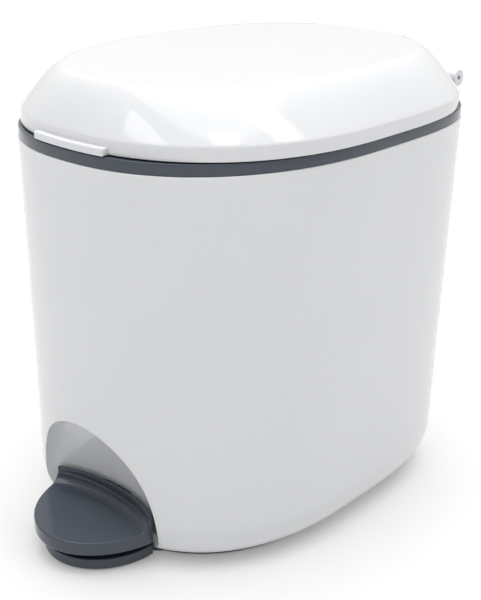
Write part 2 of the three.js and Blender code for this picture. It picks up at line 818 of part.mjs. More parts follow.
function makeLid() {
  const outside = loft(lidLevels(0, lidBottom));
  const inside = loft(lidLevels(lidWall, lidBottom - 2 * tabDrop));
  const skirtInside = slab(skirtPlan, lidWall, lidBottom - 2 * tabDrop, lidBottom + cutOver);
  const bosses = [-bracketScrewX, bracketScrewX].map((x) =>
    barY(bossRadius, bracketBackY + restGap, creaseBackY, x, bracketScrewZ)
      .intersect(outside));
  const pilots = [-bracketScrewX, bracketScrewX].map((x) =>
    barY(screwRadius + runGap, bracketBackY, bracketBackY + 2 * bossRadius, x, bracketScrewZ));
  const notches = [-armCentreX, armCentreX].map((x) =>
    box(x - armWidth / 2 - armClearance, x + armWidth / 2 + armClearance, bracketBackY, hingeRearY,
      lidBottom - cutOver, hingeZ + knuckleRadius + 2 * armClearance));
  const crankNotch = box(-rodSlotHalfWidth, rodSlotHalfWidth, bracketBackY, hingeRearY,
    lidBottom - cutOver, creaseZ + cutOver);
  const shell = cut(joined(outside, fingerTab()), inside, skirtInside);
  const lid = cut(joined(shell, ...bosses), ...notches, crankNotch, ...pilots);
  addPart("lid", lid, "whitePlastic");
}

// The capsule between the crank slot's two ends, in the Y-Z plane.
function crankCapsule(radius, halfThickness) {
  const shape = new THREE.Shape();
  const dir = crankTurn + Math.PI;
  const hinge = new THREE.Vector2(hingeY, hingeZ);
  const along = new THREE.Vector2(Math.cos(dir), Math.sin(dir));
  const start = hinge.clone().addScaledVector(along, crankSlotInner);
  const end = hinge.clone().addScaledVector(along, crankSlotOuter);
  shape.absarc(end.x, end.y, radius, dir - Math.PI / 2, dir + Math.PI / 2, false);
  shape.absarc(start.x, start.y, radius, dir + Math.PI / 2, dir + 1.5 * Math.PI, false);
  shape.closePath();
  return sidePlate(shape, halfThickness);
}

function makeHingeBracket() {
  const plateBottomZ = hingeZ - bracketDrop;
  const plate = box(-bracketHalfWidth, bracketHalfWidth, bracketFrontY, bracketBackY,
    plateBottomZ, hingeZ + bracketRise);
  const armHalfHeight = knuckleRadius - armTrim;
  const arms = [];
  for (const x of [-armCentreX, armCentreX]) {
    const x0 = x - armWidth / 2 + restGap;
    const x1 = x + armWidth / 2 - restGap;
    arms.push(box(x0, x1, bracketFrontY, hingeY, hingeZ - armHalfHeight, hingeZ + armHalfHeight));
    arms.push(barX(knuckleRadius, x0, x1, hingeY, hingeZ, roundSegments));
  }
  const web = new THREE.Shape();
  web.moveTo(bracketFrontY, plateBottomZ);
  web.lineTo(rodY, plateBottomZ - crankSlotHalfWidth);
  web.lineTo(rodY + crankMargin, plateBottomZ + 2 * crankMargin);
  web.lineTo(bracketFrontY, hingeZ + knuckleRadius);
  web.closePath();
  const crank = joined(
    crankCapsule(crankSlotHalfWidth + crankMargin, crankThickness / 2),
    sidePlate(web, crankThickness / 2),
  );
  const screwHoles = [-bracketScrewX, bracketScrewX].map((x) =>
    barY(screwRadius + runGap, bracketFrontY - cutOver, bracketBackY + cutOver, x, bracketScrewZ));
  const solid = cut(
    joined(plate, ...arms, crank),
    crankCapsule(crankSlotHalfWidth, crankThickness),
    barX(hingePinRadius + runGap, -bracketHalfWidth, bracketHalfWidth, hingeY, hingeZ),
    ...screwHoles,
  );
  addPart("lid_hinge_bracket", solid, "greyPlastic");
  [-bracketScrewX, bracketScrewX].forEach((x, i) => {
    const solidScrew = screw(screwHeadRadius, screwHeadHeight, screwRadius, bracketScrewLength);
    const part = addPart(`bracket_screw_${i + 1}`, solidScrew, "steel");
    part.rotation.x = -Math.PI / 2;
    part.position.set(x, bracketFrontY - restGap, bracketScrewZ);
  });
}

function makeHingeHousing() {
  const frontY = hingeY - hingeBarrelRadius;
  const bottom = collarTop + restGap;
  const reach = hingeHousingHalfLength;
  const barrel = barX(hingeBarrelRadius, -reach, reach, hingeY, hingeZ, roundSegments);
  const neck = box(-reach, reach, frontY, hingeRearY, bottom, hingeZ)
    .intersect(slab(bodyTopPlan, -neckOverhang, bottom, hingeZ));
  const apronFrontY = bodyHalfLength + restGap;
  const apron = box(-apronHalfWidth, apronHalfWidth, apronFrontY, apronFrontY + apronThickness,
    bodyHeight, hingeZ - knuckleRadius - armClearance);
  const gaps = [-armCentreX, armCentreX].map((x) =>
    box(x - armWidth / 2 - restGap, x + armWidth / 2 + restGap, frontY - cutOver,
      hingeRearY + cutOver, hingeZ - knuckleRadius - armClearance, hingeZ + 2 * knuckleRadius));
  const bore = barX(hingePinRadius + runGap, -reach - cutOver, reach + cutOver, hingeY, hingeZ);
  const screwHoles = [-housingScrewX, housingScrewX].map((x) =>
    barY(screwRadius + runGap, apronFrontY - cutOver, hingeRearY + cutOver, x, housingScrewZ));
  const solid = cut(joined(barrel, neck, apron), ...gaps, bore, ...screwHoles);
  addPart("hinge_housing", solid, "whitePlastic");
  const pinHalf = reach - hingePinSetback;
  addPart("hinge_pin", barX(hingePinRadius, -pinHalf, pinHalf, hingeY, hingeZ), "steel");
  [-housingScrewX, housingScrewX].forEach((x, i) => {
    const solidScrew = screw(housingScrewHeadRadius, housingScrewHeadHeight, screwRadius,
      housingScrewLength);
    const part = addPart(`housing_screw_${i + 1}`, solidScrew, "steel");
    part.rotation.x = Math.PI / 2;
    part.position.set(x, apronFrontY + apronThickness + restGap, housingScrewZ);
  });
}

// The inner hollow of the pedal's rim, or the rim itself: an oval whose back follows the recess.
function pedalSlab(skin, bottom, top) {
  const backGap = pedalBackGap + (skin > 0 ? pedalBackWall : 0);
  return oval(pedalHalfWidth - skin, pedalHalfLength - skin, pedalCentreY, bottom, top)
    .intersect(recessFootprint(backGap, bottom - cutOver, top + cutOver));
}

// The space over the pad: it curves up into the face of the back wall.
function overPad() {
  const gap = pedalBackGap + pedalBackWall;
  const face = plan(recessHalfWidth - gap, recessDepth - gap, recessCentreY, 2, 2);
  const levels = [{ z: pedalTop, plan: face, share: 0 }];
  for (let i = 0; i <= pedalFilletLevels; i++) {
    const turn = (Math.PI / 2) * (i / pedalFilletLevels);
    levels.push({
      z: pedalTop + pedalFillet * (1 - Math.cos(turn)),
      plan: face,
      inset: pedalFillet * (1 - Math.sin(turn)),
    });
  }
  levels.push({ z: 2 * pedalWallTop, plan: face });
  levels.push({ z: 2 * pedalWallTop, plan: face, share: 0 });
  const front = box(-2 * pedalHalfWidth, 2 * pedalHalfWidth, 2 * pedalFrontY, recessCentreY,
    pedalTop, 2 * pedalWallTop);
  return loft(levels).add(front);
}

function makePedal() {
  const saddleBottom = leverTop + restGap;
  const saddleTop = saddleBottom + saddleThickness;
  const saddleFrontY = pedalBackY - saddleOverlap;
  const saddle = box(-leverHalfWidth, leverHalfWidth, saddleFrontY, saddleBackY,
    saddleBottom, saddleTop);
  const notchHalf = leverHalfWidth + slotClearance / 2;
  const notch = box(-notchHalf, notchHalf, pedalBackY - pedalBackWall - restGap, saddleBackY,
    pedalBottom - cutOver, saddleBottom);
  const holes = pedalScrewYs.map((y) =>
    barZ(screwRadius + runGap, leverTop - cutOver, saddleTop - cutOver, 0, y));
  const shell = cut(
    pedalSlab(0, pedalBottom, pedalWallTop),
    overPad(),
    pedalSlab(pedalWall, pedalBottom - cutOver, pedalTop - pedalWall),
    notch,
  );
  addPart("pedal", cut(joined(shell, saddle), ...holes), "slatePlastic");
  pedalScrewYs.forEach((y, i) => {
    const solidScrew = screw(pedalScrewHeadRadius, screwHeadHeight, screwRadius, pedalScrewLength);
    const part = addPart(`pedal_screw_${i + 1}`, solidScrew, "steel");
    part.position.set(0, y, leverTop - leverSheet - restGap);
  });
}

function makeLever() {
  const hollowHalf = leverHalfWidth - leverSheet;
  const channel = cut(
    box(-leverHalfWidth, leverHalfWidth, leverFrontY, leverBackY, leverBottom, leverTop),
    box(-hollowHalf, hollowHalf, leverFrontY + leverSheet, leverBackY - leverSheet,
      leverBottom - cutOver, leverTop - leverSheet),
  );
  const hub = barX(hubRadius, -hubHalfLength, hubHalfLength, pivotY, pivotZ, roundSegments);
  const bladeShape = new THREE.Shape();
  bladeShape.moveTo(leverBackY - leverSheet, leverBottom);
  bladeShape.lineTo(rodY, leverEndZ - leverEndRadius);
  bladeShape.lineTo(rodY, leverEndZ + leverEndRadius);
  bladeShape.lineTo(leverBackY - leverSheet, leverTop);
  bladeShape.closePath();
  const blade = joined(
    sidePlate(bladeShape, bladeThickness / 2),
    barX(leverEndRadius, -bladeThickness / 2, bladeThickness / 2, rodY, leverEndZ, roundSegments),
  );
  const holes = [
    barX(axleRadius + runGap, -hubHalfLength - cutOver, hubHalfLength + cutOver, pivotY, pivotZ),
    barX(rodRadius + runGap, -bladeThickness, bladeThickness, rodY, leverEndZ),
    ...pedalScrewYs.map((y) => barZ(screwRadius + runGap, leverBottom, leverTop + cutOver, 0, y)),
  ];
  addPart("pedal_lever", cut(joined(channel, hub, blade), ...holes), "steel");
}

// A flat retaining ring on a pin along X, starting at x.
function ringX(inner, outer, x, y, z) {
  return cut(
    barX(outer, x, x + clipThickness, y, z),
    barX(inner, x - cutOver, x + clipThickness + cutOver, y, z),
  );
}

function makeAxle() {
  addPart("pedal_axle", barX(axleRadius, -axleEndX, axleEndX, pivotY, pivotZ), "steel");
  [-clipX - clipThickness, clipX].forEach((x, i) => {
    const ring = ringX(axleRadius + runGap, axleRadius + clipReach, x, pivotY, pivotZ);
    addPart(`axle_clip_${i + 1}`, ring, "steel");
  });
}

function makePushRod() {
  const ball = (z) => {
    const sphere = new THREE.SphereGeometry(rodRadius, smallSegments, smallSegments / 2);
    return solidOf(sphere.rotateX(Math.PI / 2).translate(rodX, rodY, z));
  };
  const rod = joined(
    barZ(rodRadius, leverEndZ, rodTopZ, rodX, rodY),
    barX(rodRadius, -hookReach, rodX, rodY, leverEndZ),
    barX(rodRadius, -hookReach, rodX, rodY, rodTopZ),
    ball(leverEndZ),
    ball(rodTopZ),
  );
  addPart("push_rod", rod, "steel");
  const clipStart = -crankThickness / 2 - restGap - clipThickness;
  [leverEndZ, rodTopZ].forEach((z, i) => {
    const ring = ringX(rodRadius + runGap, rodRadius + clipReach, clipStart, rodY, z);
    addPart(`rod_clip_${i + 1}`, ring, "steel");
  });
}

makeOuterBody();
makeBasePlate();
makeFeet();
makeBaseScrews();
makeCollar();
makeBucket();
makeHandle();
makeLid();
makeHingeBracket();
makeHingeHousing();
makePedal();
makeLever();
makeAxle();
makePushRod();

export default bin;
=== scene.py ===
"""Looks of a pedal trash can: smooth moulded shells, finishes, a pale floor and studio light.

Metres, +Z up, the pedal towards -Y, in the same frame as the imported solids.
"""

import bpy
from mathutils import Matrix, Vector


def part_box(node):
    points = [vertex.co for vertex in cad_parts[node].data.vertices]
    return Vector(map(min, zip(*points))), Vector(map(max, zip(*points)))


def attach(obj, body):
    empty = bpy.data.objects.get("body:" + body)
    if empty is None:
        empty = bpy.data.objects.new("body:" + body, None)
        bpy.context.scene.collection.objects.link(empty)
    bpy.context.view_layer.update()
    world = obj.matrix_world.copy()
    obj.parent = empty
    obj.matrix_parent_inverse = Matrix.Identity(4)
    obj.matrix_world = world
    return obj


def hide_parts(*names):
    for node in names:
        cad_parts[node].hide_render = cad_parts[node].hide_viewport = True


bl_info = {
    "name": "Pedal Trash Can",
    "version": (1, 0, 0),
    "blender": (4, 5, 0),
    "location": "View3D > Sidebar > Trash Can",
    "description": "Builds the shells, linkage, finishes and studio of a pedal trash can",
    "category": "Add Mesh",
}

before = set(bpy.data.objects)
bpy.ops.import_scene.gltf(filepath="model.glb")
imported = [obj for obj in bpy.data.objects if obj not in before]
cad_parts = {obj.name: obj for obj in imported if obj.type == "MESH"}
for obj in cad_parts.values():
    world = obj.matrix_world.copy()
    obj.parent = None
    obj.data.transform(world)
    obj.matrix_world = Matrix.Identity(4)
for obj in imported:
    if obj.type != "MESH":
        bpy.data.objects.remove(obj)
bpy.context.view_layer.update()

import math
from collections import namedtuple

import bmesh
import bpy
from bpy.props import FloatProperty, FloatVectorProperty, IntProperty, PointerProperty
from mathutils import Matrix, Vector

MM = 0.001

# ---- Sizes shared with the solids, in metres ----

FRONT_ROUNDNESS = 2.32
BACK_ROUNDNESS = 3.64
FRONT_TAPER = 3.7 * MM
BACK_TAPER = 13.1 * MM
SIDE_TAPER = 1.6 * MM
BOTTOM_RADIUS = 40 * MM
BODY_WALL = 2.2 * MM

RECESS_HALF_WIDTH = 67 * MM
RECESS_DEPTH = 30 * MM
RECESS_RISE = 82 * MM
RECESS_CENTRE_Z = 21 * MM
RECESS_CENTRE_INSET = 3.1 * MM
LEVER_SLOT_HALF_WIDTH = 15 * MM
LEVER_SLOT_Z = (14 * MM, 37.5 * MM)

COLLAR_INSET = 0.7 * MM
COLLAR_BAND = 5.3 * MM
COLLAR_DECK = 2.5 * MM
COLLAR_SKIRT_INSET = 2.7 * MM
COLLAR_SKIRT_WALL = 2 * MM
BUCKET_HOLE_CLEARANCE = 1.5 * MM
ROD_SLOT_HALF_WIDTH = 9.5 * MM
ROD_SLOT_FRONT = 7.9 * MM

BUCKET_BASE_SIDE_INSET = 32.9 * MM
BUCKET_BASE_BACK_INSET = 32.7 * MM
BUCKET_TOP_SIDE_INSET = 16.5 * MM
BUCKET_TOP_FRONT_INSET = 20.8 * MM
BUCKET_TOP_BACK_INSET = 35.8 * MM
BUCKET_CORNER_RADIUS = 12 * MM
BUCKET_WALL = 2 * MM
BUCKET_RIM_WIDTH = 8 * MM
BUCKET_RIM_THICKNESS = 2 * MM
BUCKET_EAR_THICKNESS = 5 * MM
BUCKET_EAR_HALF_LENGTH = 6 * MM

SKIRT_FRONT_INSET = 5.5 * MM
SKIRT_BACK_INSET = 12.3 * MM
SKIRT_HEIGHT = 9.4 * MM
CREASE_FLARE = 0.25 * MM
CREASE_BACK_FLARE = 2.65 * MM
LID_GAP = 0.95 * MM
LID_WALL = 2.5 * MM
PANEL_SIDE_INSET = 33 * MM
PANEL_FRONT_INSET = 23 * MM
PANEL_BACK_INSET = 1.2 * MM
PANEL_FRONT_ROUNDNESS = 2.24
PANEL_BACK_ROUNDNESS = 2.58
PANEL_DISH = 1 * MM
SHOULDER_POWER = 1.4
TAB_HALF_WIDTH = 34.5 * MM
TAB_REACH = 5 * MM
TAB_THICKNESS = 5.4 * MM
TAB_DEPTH = 30 * MM
HINGE_ARM_X = 50 * MM
HINGE_ARM_WIDTH = 14 * MM

PEDAL_HALF_WIDTH = 54 * MM
PEDAL_HALF_LENGTH = 68 * MM
PEDAL_WALL = 3 * MM
PEDAL_PAD_TOP = 28 * MM
PEDAL_FILLET = 9 * MM
PEDAL_BACK_GAP = 3.4 * MM
PEDAL_BACK_WALL = 3.2 * MM
LEVER_HALF_WIDTH = 12 * MM
LEVER_TOP = 32 * MM
SADDLE_THICKNESS = 3.4 * MM
BUCKET_FRONT_CLEARANCE = 33 * MM
TONGUE_BACK_GAP = 1.2 * MM

REST_GAP = 0.3 * MM
CUT_OVER = 1 * MM
FAR = 400 * MM

# Bosses, ribs and bores for the screws.
BOSS_RADIUS = 5 * MM
BOSS_EDGE = 0.4 * MM
SCREW_BORE = 2.2 * MM
BASE_BOSS_Z = (6.3 * MM, 18.3 * MM)
LID_BOSS_START = 159 * MM
RIB_HALF_WIDTH = 1.1 * MM
RIB_END_INSET = 14 * MM
BASE_SCREW_BORES = ((SCREW_BORE, 8 * MM), (4.1 * MM, 3.4 * MM))

RECESS_EDGE_START = 6 * MM
RECESS_EDGE_REACH = 20 * MM
TAB_OVERLAP = 1.2 * MM
TAB_EDGE_REACH = 8 * MM
HINGE_ARM_CLEARANCE = 1.5 * MM
BRACKET_NOTCH_REACH = 25 * MM
SADDLE_OVERLAP = 2.5 * MM
LEVER_NOTCH_GAP = 1.5 * MM

# The base plate. An oval is its half width, half length and setback from the recess's middle.
BASE_TOP = 3.6 * MM
BASE_INSET = 24 * MM
BASE_SHOULDERS = (54 * MM, 30 * MM, 42 * MM)
TONGUE_OVAL = (46 * MM, 52 * MM, 18.5 * MM)
TONGUE_TOP = 9.8 * MM
TONGUE_WALL = 2.5 * MM
POST_X = (17 * MM, 23 * MM)
POST_RADIUS = 8 * MM
AXLE_BORE = 3.3 * MM
FOOT_POCKET_RADIUS = 9.3 * MM
FOOT_POCKET_DEPTH = 2.2 * MM

# Wires. The handle's half is in millimetres, from its ear to beside the grip.
WIRE_RADIUS = 2 * MM
WIRE_BORE = 2.3 * MM
CLIP_WIDTH = 2.1 * MM
EAR_OUTER_X = 126 * MM
EAR_Y = 15 * MM
HANDLE_FRONT_Y = -116 * MM
HANDLE_SIDE_Y = -106.8 * MM
HANDLE_SIDE_X = 50 * MM
HANDLE_HALF = (
    (128.5, 15), (123, 15), (119.5, 14.9), (116.5, 12), (115, 6), (112, -25),
    (94, -72.8), (50, -106.8),
)

# ---- The studio ----

FLOOR_GLOW = 0.2
SKY_HORIZON = "#3A3B3D"
SKY_ZENITH = "#FFFFFE"
SKY_POWER = 2.2
SKY_STRENGTH = 1.6
BACKDROP_COLOUR = "#FFFEFA"
BACKDROP_SIDE = (-0.68, 0.73, 0.1)
BACKDROP_EDGES = (0.1, 0.75)
BACKDROP_SHARE = 0.42
OVERHEAD_ENERGY = 1.35
OVERHEAD_SPREAD = 60

# Each softbox's name, place, target, size and power.
SOFTBOXES = (
    ("softbox_front", (-0.082, -0.961, 1.179), (0.060, -0.132, 0.323), (0.56, 0.24), 1.3),
    ("softbox_corner", (0.622, -0.373, 1.368), (0.100, -0.103, 0.322), (0.30, 0.13), 0.45),
    ("softbox_side", (0.677, 0.194, 1.354), (0.113, -0.072, 0.329), (0.26, 0.50), 1.25),
)

# Azimuth, elevation and roll in degrees.
CAMERA_ANGLES = (42.39, 22.57, 0.34)
CAMERA_DISTANCE = 0.89826
CAMERA_TARGET = (0, 0.015, 0.15)
CAMERA_LENS = 66.7
CAMERA_SHIFT = (0.0095, 0.0031)

# Turns that lay a mesh built along Z on another axis.
TURNS = {
    "X": Matrix.Rotation(math.pi / 2, 4, "Y"),
    "Y": Matrix.Rotation(-math.pi / 2, 4, "X"),
    "-Y": Matrix.Rotation(math.pi / 2, 4, "X"),
    "Z": Matrix.Identity(4),
}

# ---- Plans: halves of a superellipse, rounder at the front and squarer at the back ----

Plan = namedtuple("Plan", "half_width front_y back_y front back")


def plan(half_width, front_y, back_y, front=FRONT_ROUNDNESS, back=BACK_ROUNDNESS):
    return Plan(half_width, front_y, back_y, front, back)


def mix(a, b, share):
    return a + (b - a) * share


def mix_plans(a, b, share):
    return Plan(*(mix(p, q, share) for p, q in zip(a, b)))


def outline_point(shape, turn):
    """The outline's point in one direction from the plan's centre."""
    half_length = (shape.back_y - shape.front_y) / 2
    across, along = math.cos(turn), math.sin(turn)
    power = shape.front if along < 0 else shape.back
    total = abs(across / shape.half_width) ** power + abs(along / half_length) ** power
    return Vector((across, along)) * total ** (-1 / power)


def inset_point(shape, turn, inset, share):
    """The same point moved inwards along the outline's normal."""
    step = 1e-3
    point = outline_point(shape, turn)
    tangent = outline_point(shape, turn + step) - outline_point(shape, turn - step)
    inward = Vector((-tangent.y, tangent.x)).normalized()
    point = (point + inward * inset) * share
    return point + Vector((0, (shape.front_y + shape.back_y) / 2))


body_low, body_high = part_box("outer_body")
collar_low, collar_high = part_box("collar_ring")
bucket_low, bucket_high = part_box("inner_bucket")
lid_low, lid_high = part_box("lid")
pedal_low, pedal_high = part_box("pedal")
housing_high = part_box("hinge_housing")[1]
bracket_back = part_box("lid_hinge_bracket")[1].y

body_top = plan(body_high.x, body_low.y, body_high.y)
body_base = plan(
    body_high.x - SIDE_TAPER, body_low.y + FRONT_TAPER, body_high.y - BACK_TAPER
)
recess_centre_y = body_base.front_y + RECESS_CENTRE_INSET
bucket_top = plan(
    body_top.half_width - BUCKET_TOP_SIDE_INSET,
    body_top.front_y + BUCKET_TOP_FRONT_INSET,
    body_top.back_y - BUCKET_TOP_BACK_INSET,
)
bucket_base = plan(
    body_base.half_width - BUCKET_BASE_SIDE_INSET,
    recess_centre_y + RECESS_DEPTH + BUCKET_FRONT_CLEARANCE,
    body_base.back_y - BUCKET_BASE_BACK_INSET,
)
lid_crease = plan(
    lid_high.x,
    body_top.front_y + SKIRT_FRONT_INSET + CREASE_FLARE,
    body_top.back_y - SKIRT_BACK_INSET + CREASE_BACK_FLARE,
)
lid_skirt = plan(
    lid_crease.half_width - CREASE_FLARE,
    body_top.front_y + SKIRT_FRONT_INSET,
    body_top.back_y - SKIRT_BACK_INSET,
)
lid_panel = plan(
    lid_crease.half_width - PANEL_SIDE_INSET,
    lid_crease.front_y + PANEL_FRONT_INSET,
    lid_crease.back_y - PANEL_BACK_INSET,
    PANEL_FRONT_ROUNDNESS,
    PANEL_BACK_ROUNDNESS,
)
collar_bottom = body_high.z + REST_GAP
deck_top = collar_bottom + COLLAR_DECK
bucket_rim_bottom = deck_top + REST_GAP
bucket_rim_top = bucket_rim_bottom + BUCKET_RIM_THICKNESS
lid_bottom = collar_high.z + LID_GAP
crease_z = lid_bottom + SKIRT_HEIGHT


def body_plan(z):
    return mix_plans(body_base, body_top, z / body_high.z)


def bucket_plan(z):
    share = (z - bucket_low.z) / (bucket_rim_top - bucket_low.z)
    return mix_plans(bucket_base, bucket_top, share)


# ---- Mesh tools ----

Level = namedtuple("Level", "z plan inset share bevel", defaults=(0.0, 1.0, 0.0))


def loft(bm, levels, segments):
    """A skin through rings that follow plan outlines: its first and last rings, and its bevels."""
    turn = bm.verts.layers.float.get("turn") or bm.verts.layers.float.new("turn")
    verts = bmesh.ops.create_circle(bm, segments=segments, radius=1)["verts"]
    for vert in verts:
        vert[turn] = math.atan2(vert.co.y, vert.co.x)
    ring = list({edge for vert in verts for edge in vert.link_edges})
    first, bevels = ring, []
    for i, level in enumerate(levels):
        if i > 0:
            made = bmesh.ops.extrude_edge_only(bm, edges=ring)["geom"]
            verts = [part for part in made if isinstance(part, bmesh.types.BMVert)]
            new = set(verts)
            ring = [
                part for part in made
                if isinstance(part, bmesh.types.BMEdge) and new.issuperset(part.verts)
            ]
        for vert in verts:
            point = inset_point(level.plan, vert[turn], level.inset, level.share)
            vert.co = (point.x, point.y, level.z)
        if level.bevel:
            bevels.append((ring, level.bevel))
    return first, ring, bevels


def seal(bm, bevels=()):
    """Merges poles, turns the faces outwards, then rounds the rings that ask for it."""
    bmesh.ops.remove_doubles(bm, verts=bm.verts, dist=1e-7)
    bmesh.ops.recalc_face_normals(bm, faces=bm.faces)
    for edges, width in bevels:
        bevel(bm, [edge for edge in edges if edge.is_valid], width, 4)
    return bm


def solid_loft(levels, segments):
    """A closed solid from one skin whose ends are poles, or whose ends meet."""
    bm = bmesh.new()
    first, last, bevels = loft(bm, levels, segments)
    if levels[0].share > 0:
        bmesh.ops.bridge_loops(bm, edges=first + last)
    return seal(bm, bevels)


def bevel(bm, edges, width, segments):
    bmesh.ops.bevel(
        bm,
        geom=edges,
        offset=width,
        offset_type="OFFSET",
        segments=segments,
        profile=0.5,
        affect="EDGES",
        clamp_overlap=True,
        material=-1,
    )


def box_mesh(x, y, z, width=0.0):
    """A box between pairs of limits, with its edges rounded."""
    bm = bmesh.new()
    size = Vector((x[1] - x[0], y[1] - y[0], z[1] - z[0]))
    centre = Vector((x[0] + x[1], y[0] + y[1], z[0] + z[1])) / 2
    matrix = Matrix.Translation(centre) @ Matrix.Diagonal((*size, 1))
    bmesh.ops.create_cube(bm, size=1, matrix=matrix)
    if width:
        bevel(bm, list(bm.edges), width, 3)
    return bm


def sharp_edges(bm, degrees):
    limit = math.radians(degrees)
    return [edge for edge in bm.edges if edge.calc_face_angle(0) > limit]


def bar_mesh(radius, low, high, axis="Z", segments=64, width=0.0):
    """A round bar between two heights along an axis, at the origin."""
    bm = bmesh.new()
    bmesh.ops.create_cone(
        bm, cap_ends=True, segments=segments, radius1=radius, radius2=radius,
        depth=high - low, matrix=shift(z=(low + high) / 2),
    )
    if width:
        bevel(bm, sharp_edges(bm, 60), width, 4)
    return moved(bm, TURNS[axis])


def lathe_mesh(profile, steps=48, closed=False):
    """A solid spun around Z from (radius, height) points: a loop, or a line between two poles."""
    bm = bmesh.new()
    verts = [bm.verts.new((radius, 0, height)) for radius, height in profile]
    after = verts[1:] + verts[:1] if closed else verts[1:]
    edges = [bm.edges.new(pair) for pair in zip(verts, after)]
    bmesh.ops.spin(
        bm, geom=verts + edges, cent=(0, 0, 0), axis=(0, 0, 1), angle=2 * math.pi,
        steps=steps, use_merge=True,
    )
    return seal(bm)


def moved(bm, *steps):
    """The mesh after these matrices, the first one first."""
    for matrix in steps:
        bmesh.ops.transform(bm, matrix=matrix, verts=bm.verts)
    return bm


def shift(x=0.0, y=0.0, z=0.0):
    return Matrix.Translation((x, y, z))


def oval_mesh(half_width, half_length, centre_y, bottom, top, segments=144):
    bm = bar_mesh(1, bottom, top, segments=segments)
    matrix = shift(y=centre_y) @ Matrix.Diagonal((half_width, half_length, 1, 1))
    return moved(bm, matrix)


def join(bm, *others):
    """Adds other meshes to this one as they are."""
    for other in others:
        mesh = bpy.data.meshes.new("part")
        other.to_mesh(mesh)
        other.free()
        bm.from_mesh(mesh)
        bpy.data.meshes.remove(mesh)
    return bm


def as_object(name, bm):
    mesh = bpy.data.meshes.new(name)
    bm.to_mesh(mesh)
    bm.free()
    made = bpy.data.objects.new(name, mesh)
    bpy.context.scene.collection.objects.link(made)
    return made


def remove(item):
    mesh = item.data
    bpy.data.objects.remove(item)
    bpy.data.meshes.remove(mesh)


def evaluated(item):
    """The mesh that an object's modifiers, or its curve, work out to."""
    graph = bpy.context.evaluated_depsgraph_get()
    mesh = bpy.data.meshes.new_from_object(item.evaluated_get(graph))
    bm = bmesh.new()
    bm.from_mesh(mesh)
    bpy.data.meshes.remove(mesh)
    return bm


def modified(bm, kind, **settings):
    """The mesh after one modifier."""
    target = as_object("target", bm)
    modifier = target.modifiers.new("step", kind)
    for name, value in settings.items():
        setattr(modifier, name, value)
    result = evaluated(target)
    remove(target)
    return result


def carved(bm, *steps):
    """The mesh after boolean steps, each an operation and the mesh that it uses."""
    for operation, other in steps:
        tool = as_object("tool", other)
        bm = modified(bm, "BOOLEAN", operation=operation, object=tool, solver="EXACT")
        remove(tool)
    return bm


def remeshed(bm, voxel, rounds):
    """The mesh rebuilt from even voxels and relaxed, which rounds its edges as a mould's are."""
    bm = modified(bm, "REMESH", mode="VOXEL", voxel_size=voxel)
    for _ in range(rounds):
        bmesh.ops.smooth_vert(
            bm, verts=bm.verts, factor=0.5, use_axis_x=True, use_axis_y=True, use_axis_z=True
        )
    return bm


def finish_piece(name, bm, finish, node, body="bin_frame", sharp=32):
    """Shades the mesh smooth up to an angle, and stands it in for its node."""
    limit = math.radians(sharp)
    for face in bm.faces:
        face.smooth = True
    for edge in bm.edges:
        edge.smooth = edge.calc_face_angle(math.pi) < limit
    piece = as_object(name, bm)
    piece.data.materials.clear()
    piece.data.materials.append(FINISHES[finish])
    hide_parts(node)
    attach(piece, body)


def middle(node):
    """The centre of a solid's box."""
    low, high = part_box(node)
    return (low + high) / 2


def softened(node, width):
    """A copy of a solid with its flat faces whole again and its sharp edges rounded."""
    bm = bmesh.new()
    bm.from_mesh(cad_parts[node].data)
    bmesh.ops.remove_doubles(bm, verts=bm.verts, dist=1e-5)
    bmesh.ops.dissolve_limit(
        bm, angle_limit=math.radians(0.5), verts=bm.verts, edges=bm.edges
    )
    bevel(bm, sharp_edges(bm, 30), width, 3)
    return bm


# ---- Shells ----


def body_levels(skin, bottom, top, rim_bevel):
    """Levels of the tapered body's skin, rounded at its lower edge."""
    radius = BOTTOM_RADIUS - skin
    steps = 14
    levels = [Level(bottom, body_plan(bottom), share=0)]
    for i in range(steps + 1):
        z = mix(bottom, BOTTOM_RADIUS, (i / steps) ** 1.6)
        drop = min(max(BOTTOM_RADIUS - z, 0) / radius, 1)
        inset = skin + radius * (1 - math.sqrt(1 - drop**2))
        levels.append(Level(z, body_plan(z), inset))
    dense_top = RECESS_CENTRE_Z + RECESS_RISE + 8 * MM
    for count, low, high in ((14, BOTTOM_RADIUS, dense_top), (10, dense_top, top)):
        for i in range(1, count + 1):
            z = mix(low, high, i / count)
            levels.append(Level(z, body_plan(z), skin))
    levels[-1] = levels[-1]._replace(bevel=rim_bevel)
    levels.append(Level(top, body_plan(top), share=0))
    return levels


def recess_mesh(grow):
    """The pedal's hollow: an egg top on an upright oval."""
    low = -CUT_OVER
    profile = [(0, low), (1, low), (1, RECESS_CENTRE_Z)]
    steps = 40
    for i in range(1, steps + 1):
        turn = math.pi / 2 * i / steps
        height = RECESS_CENTRE_Z + (RECESS_RISE + grow) * math.sin(turn)
        profile.append((math.cos(turn) if i < steps else 0, height))
    size = Matrix.Diagonal((RECESS_HALF_WIDTH + grow, RECESS_DEPTH + grow, 1, 1))
    return moved(lathe_mesh(profile, 120), size, shift(y=recess_centre_y))


def recess_share(point):
    """1 on the recess's surface, less inside it."""
    x = point.x / RECESS_HALF_WIDTH
    y = (point.y - recess_centre_y) / RECESS_DEPTH
    z = max(point.z - RECESS_CENTRE_Z, 0) / RECESS_RISE
    return math.sqrt(x * x + y * y + z * z)


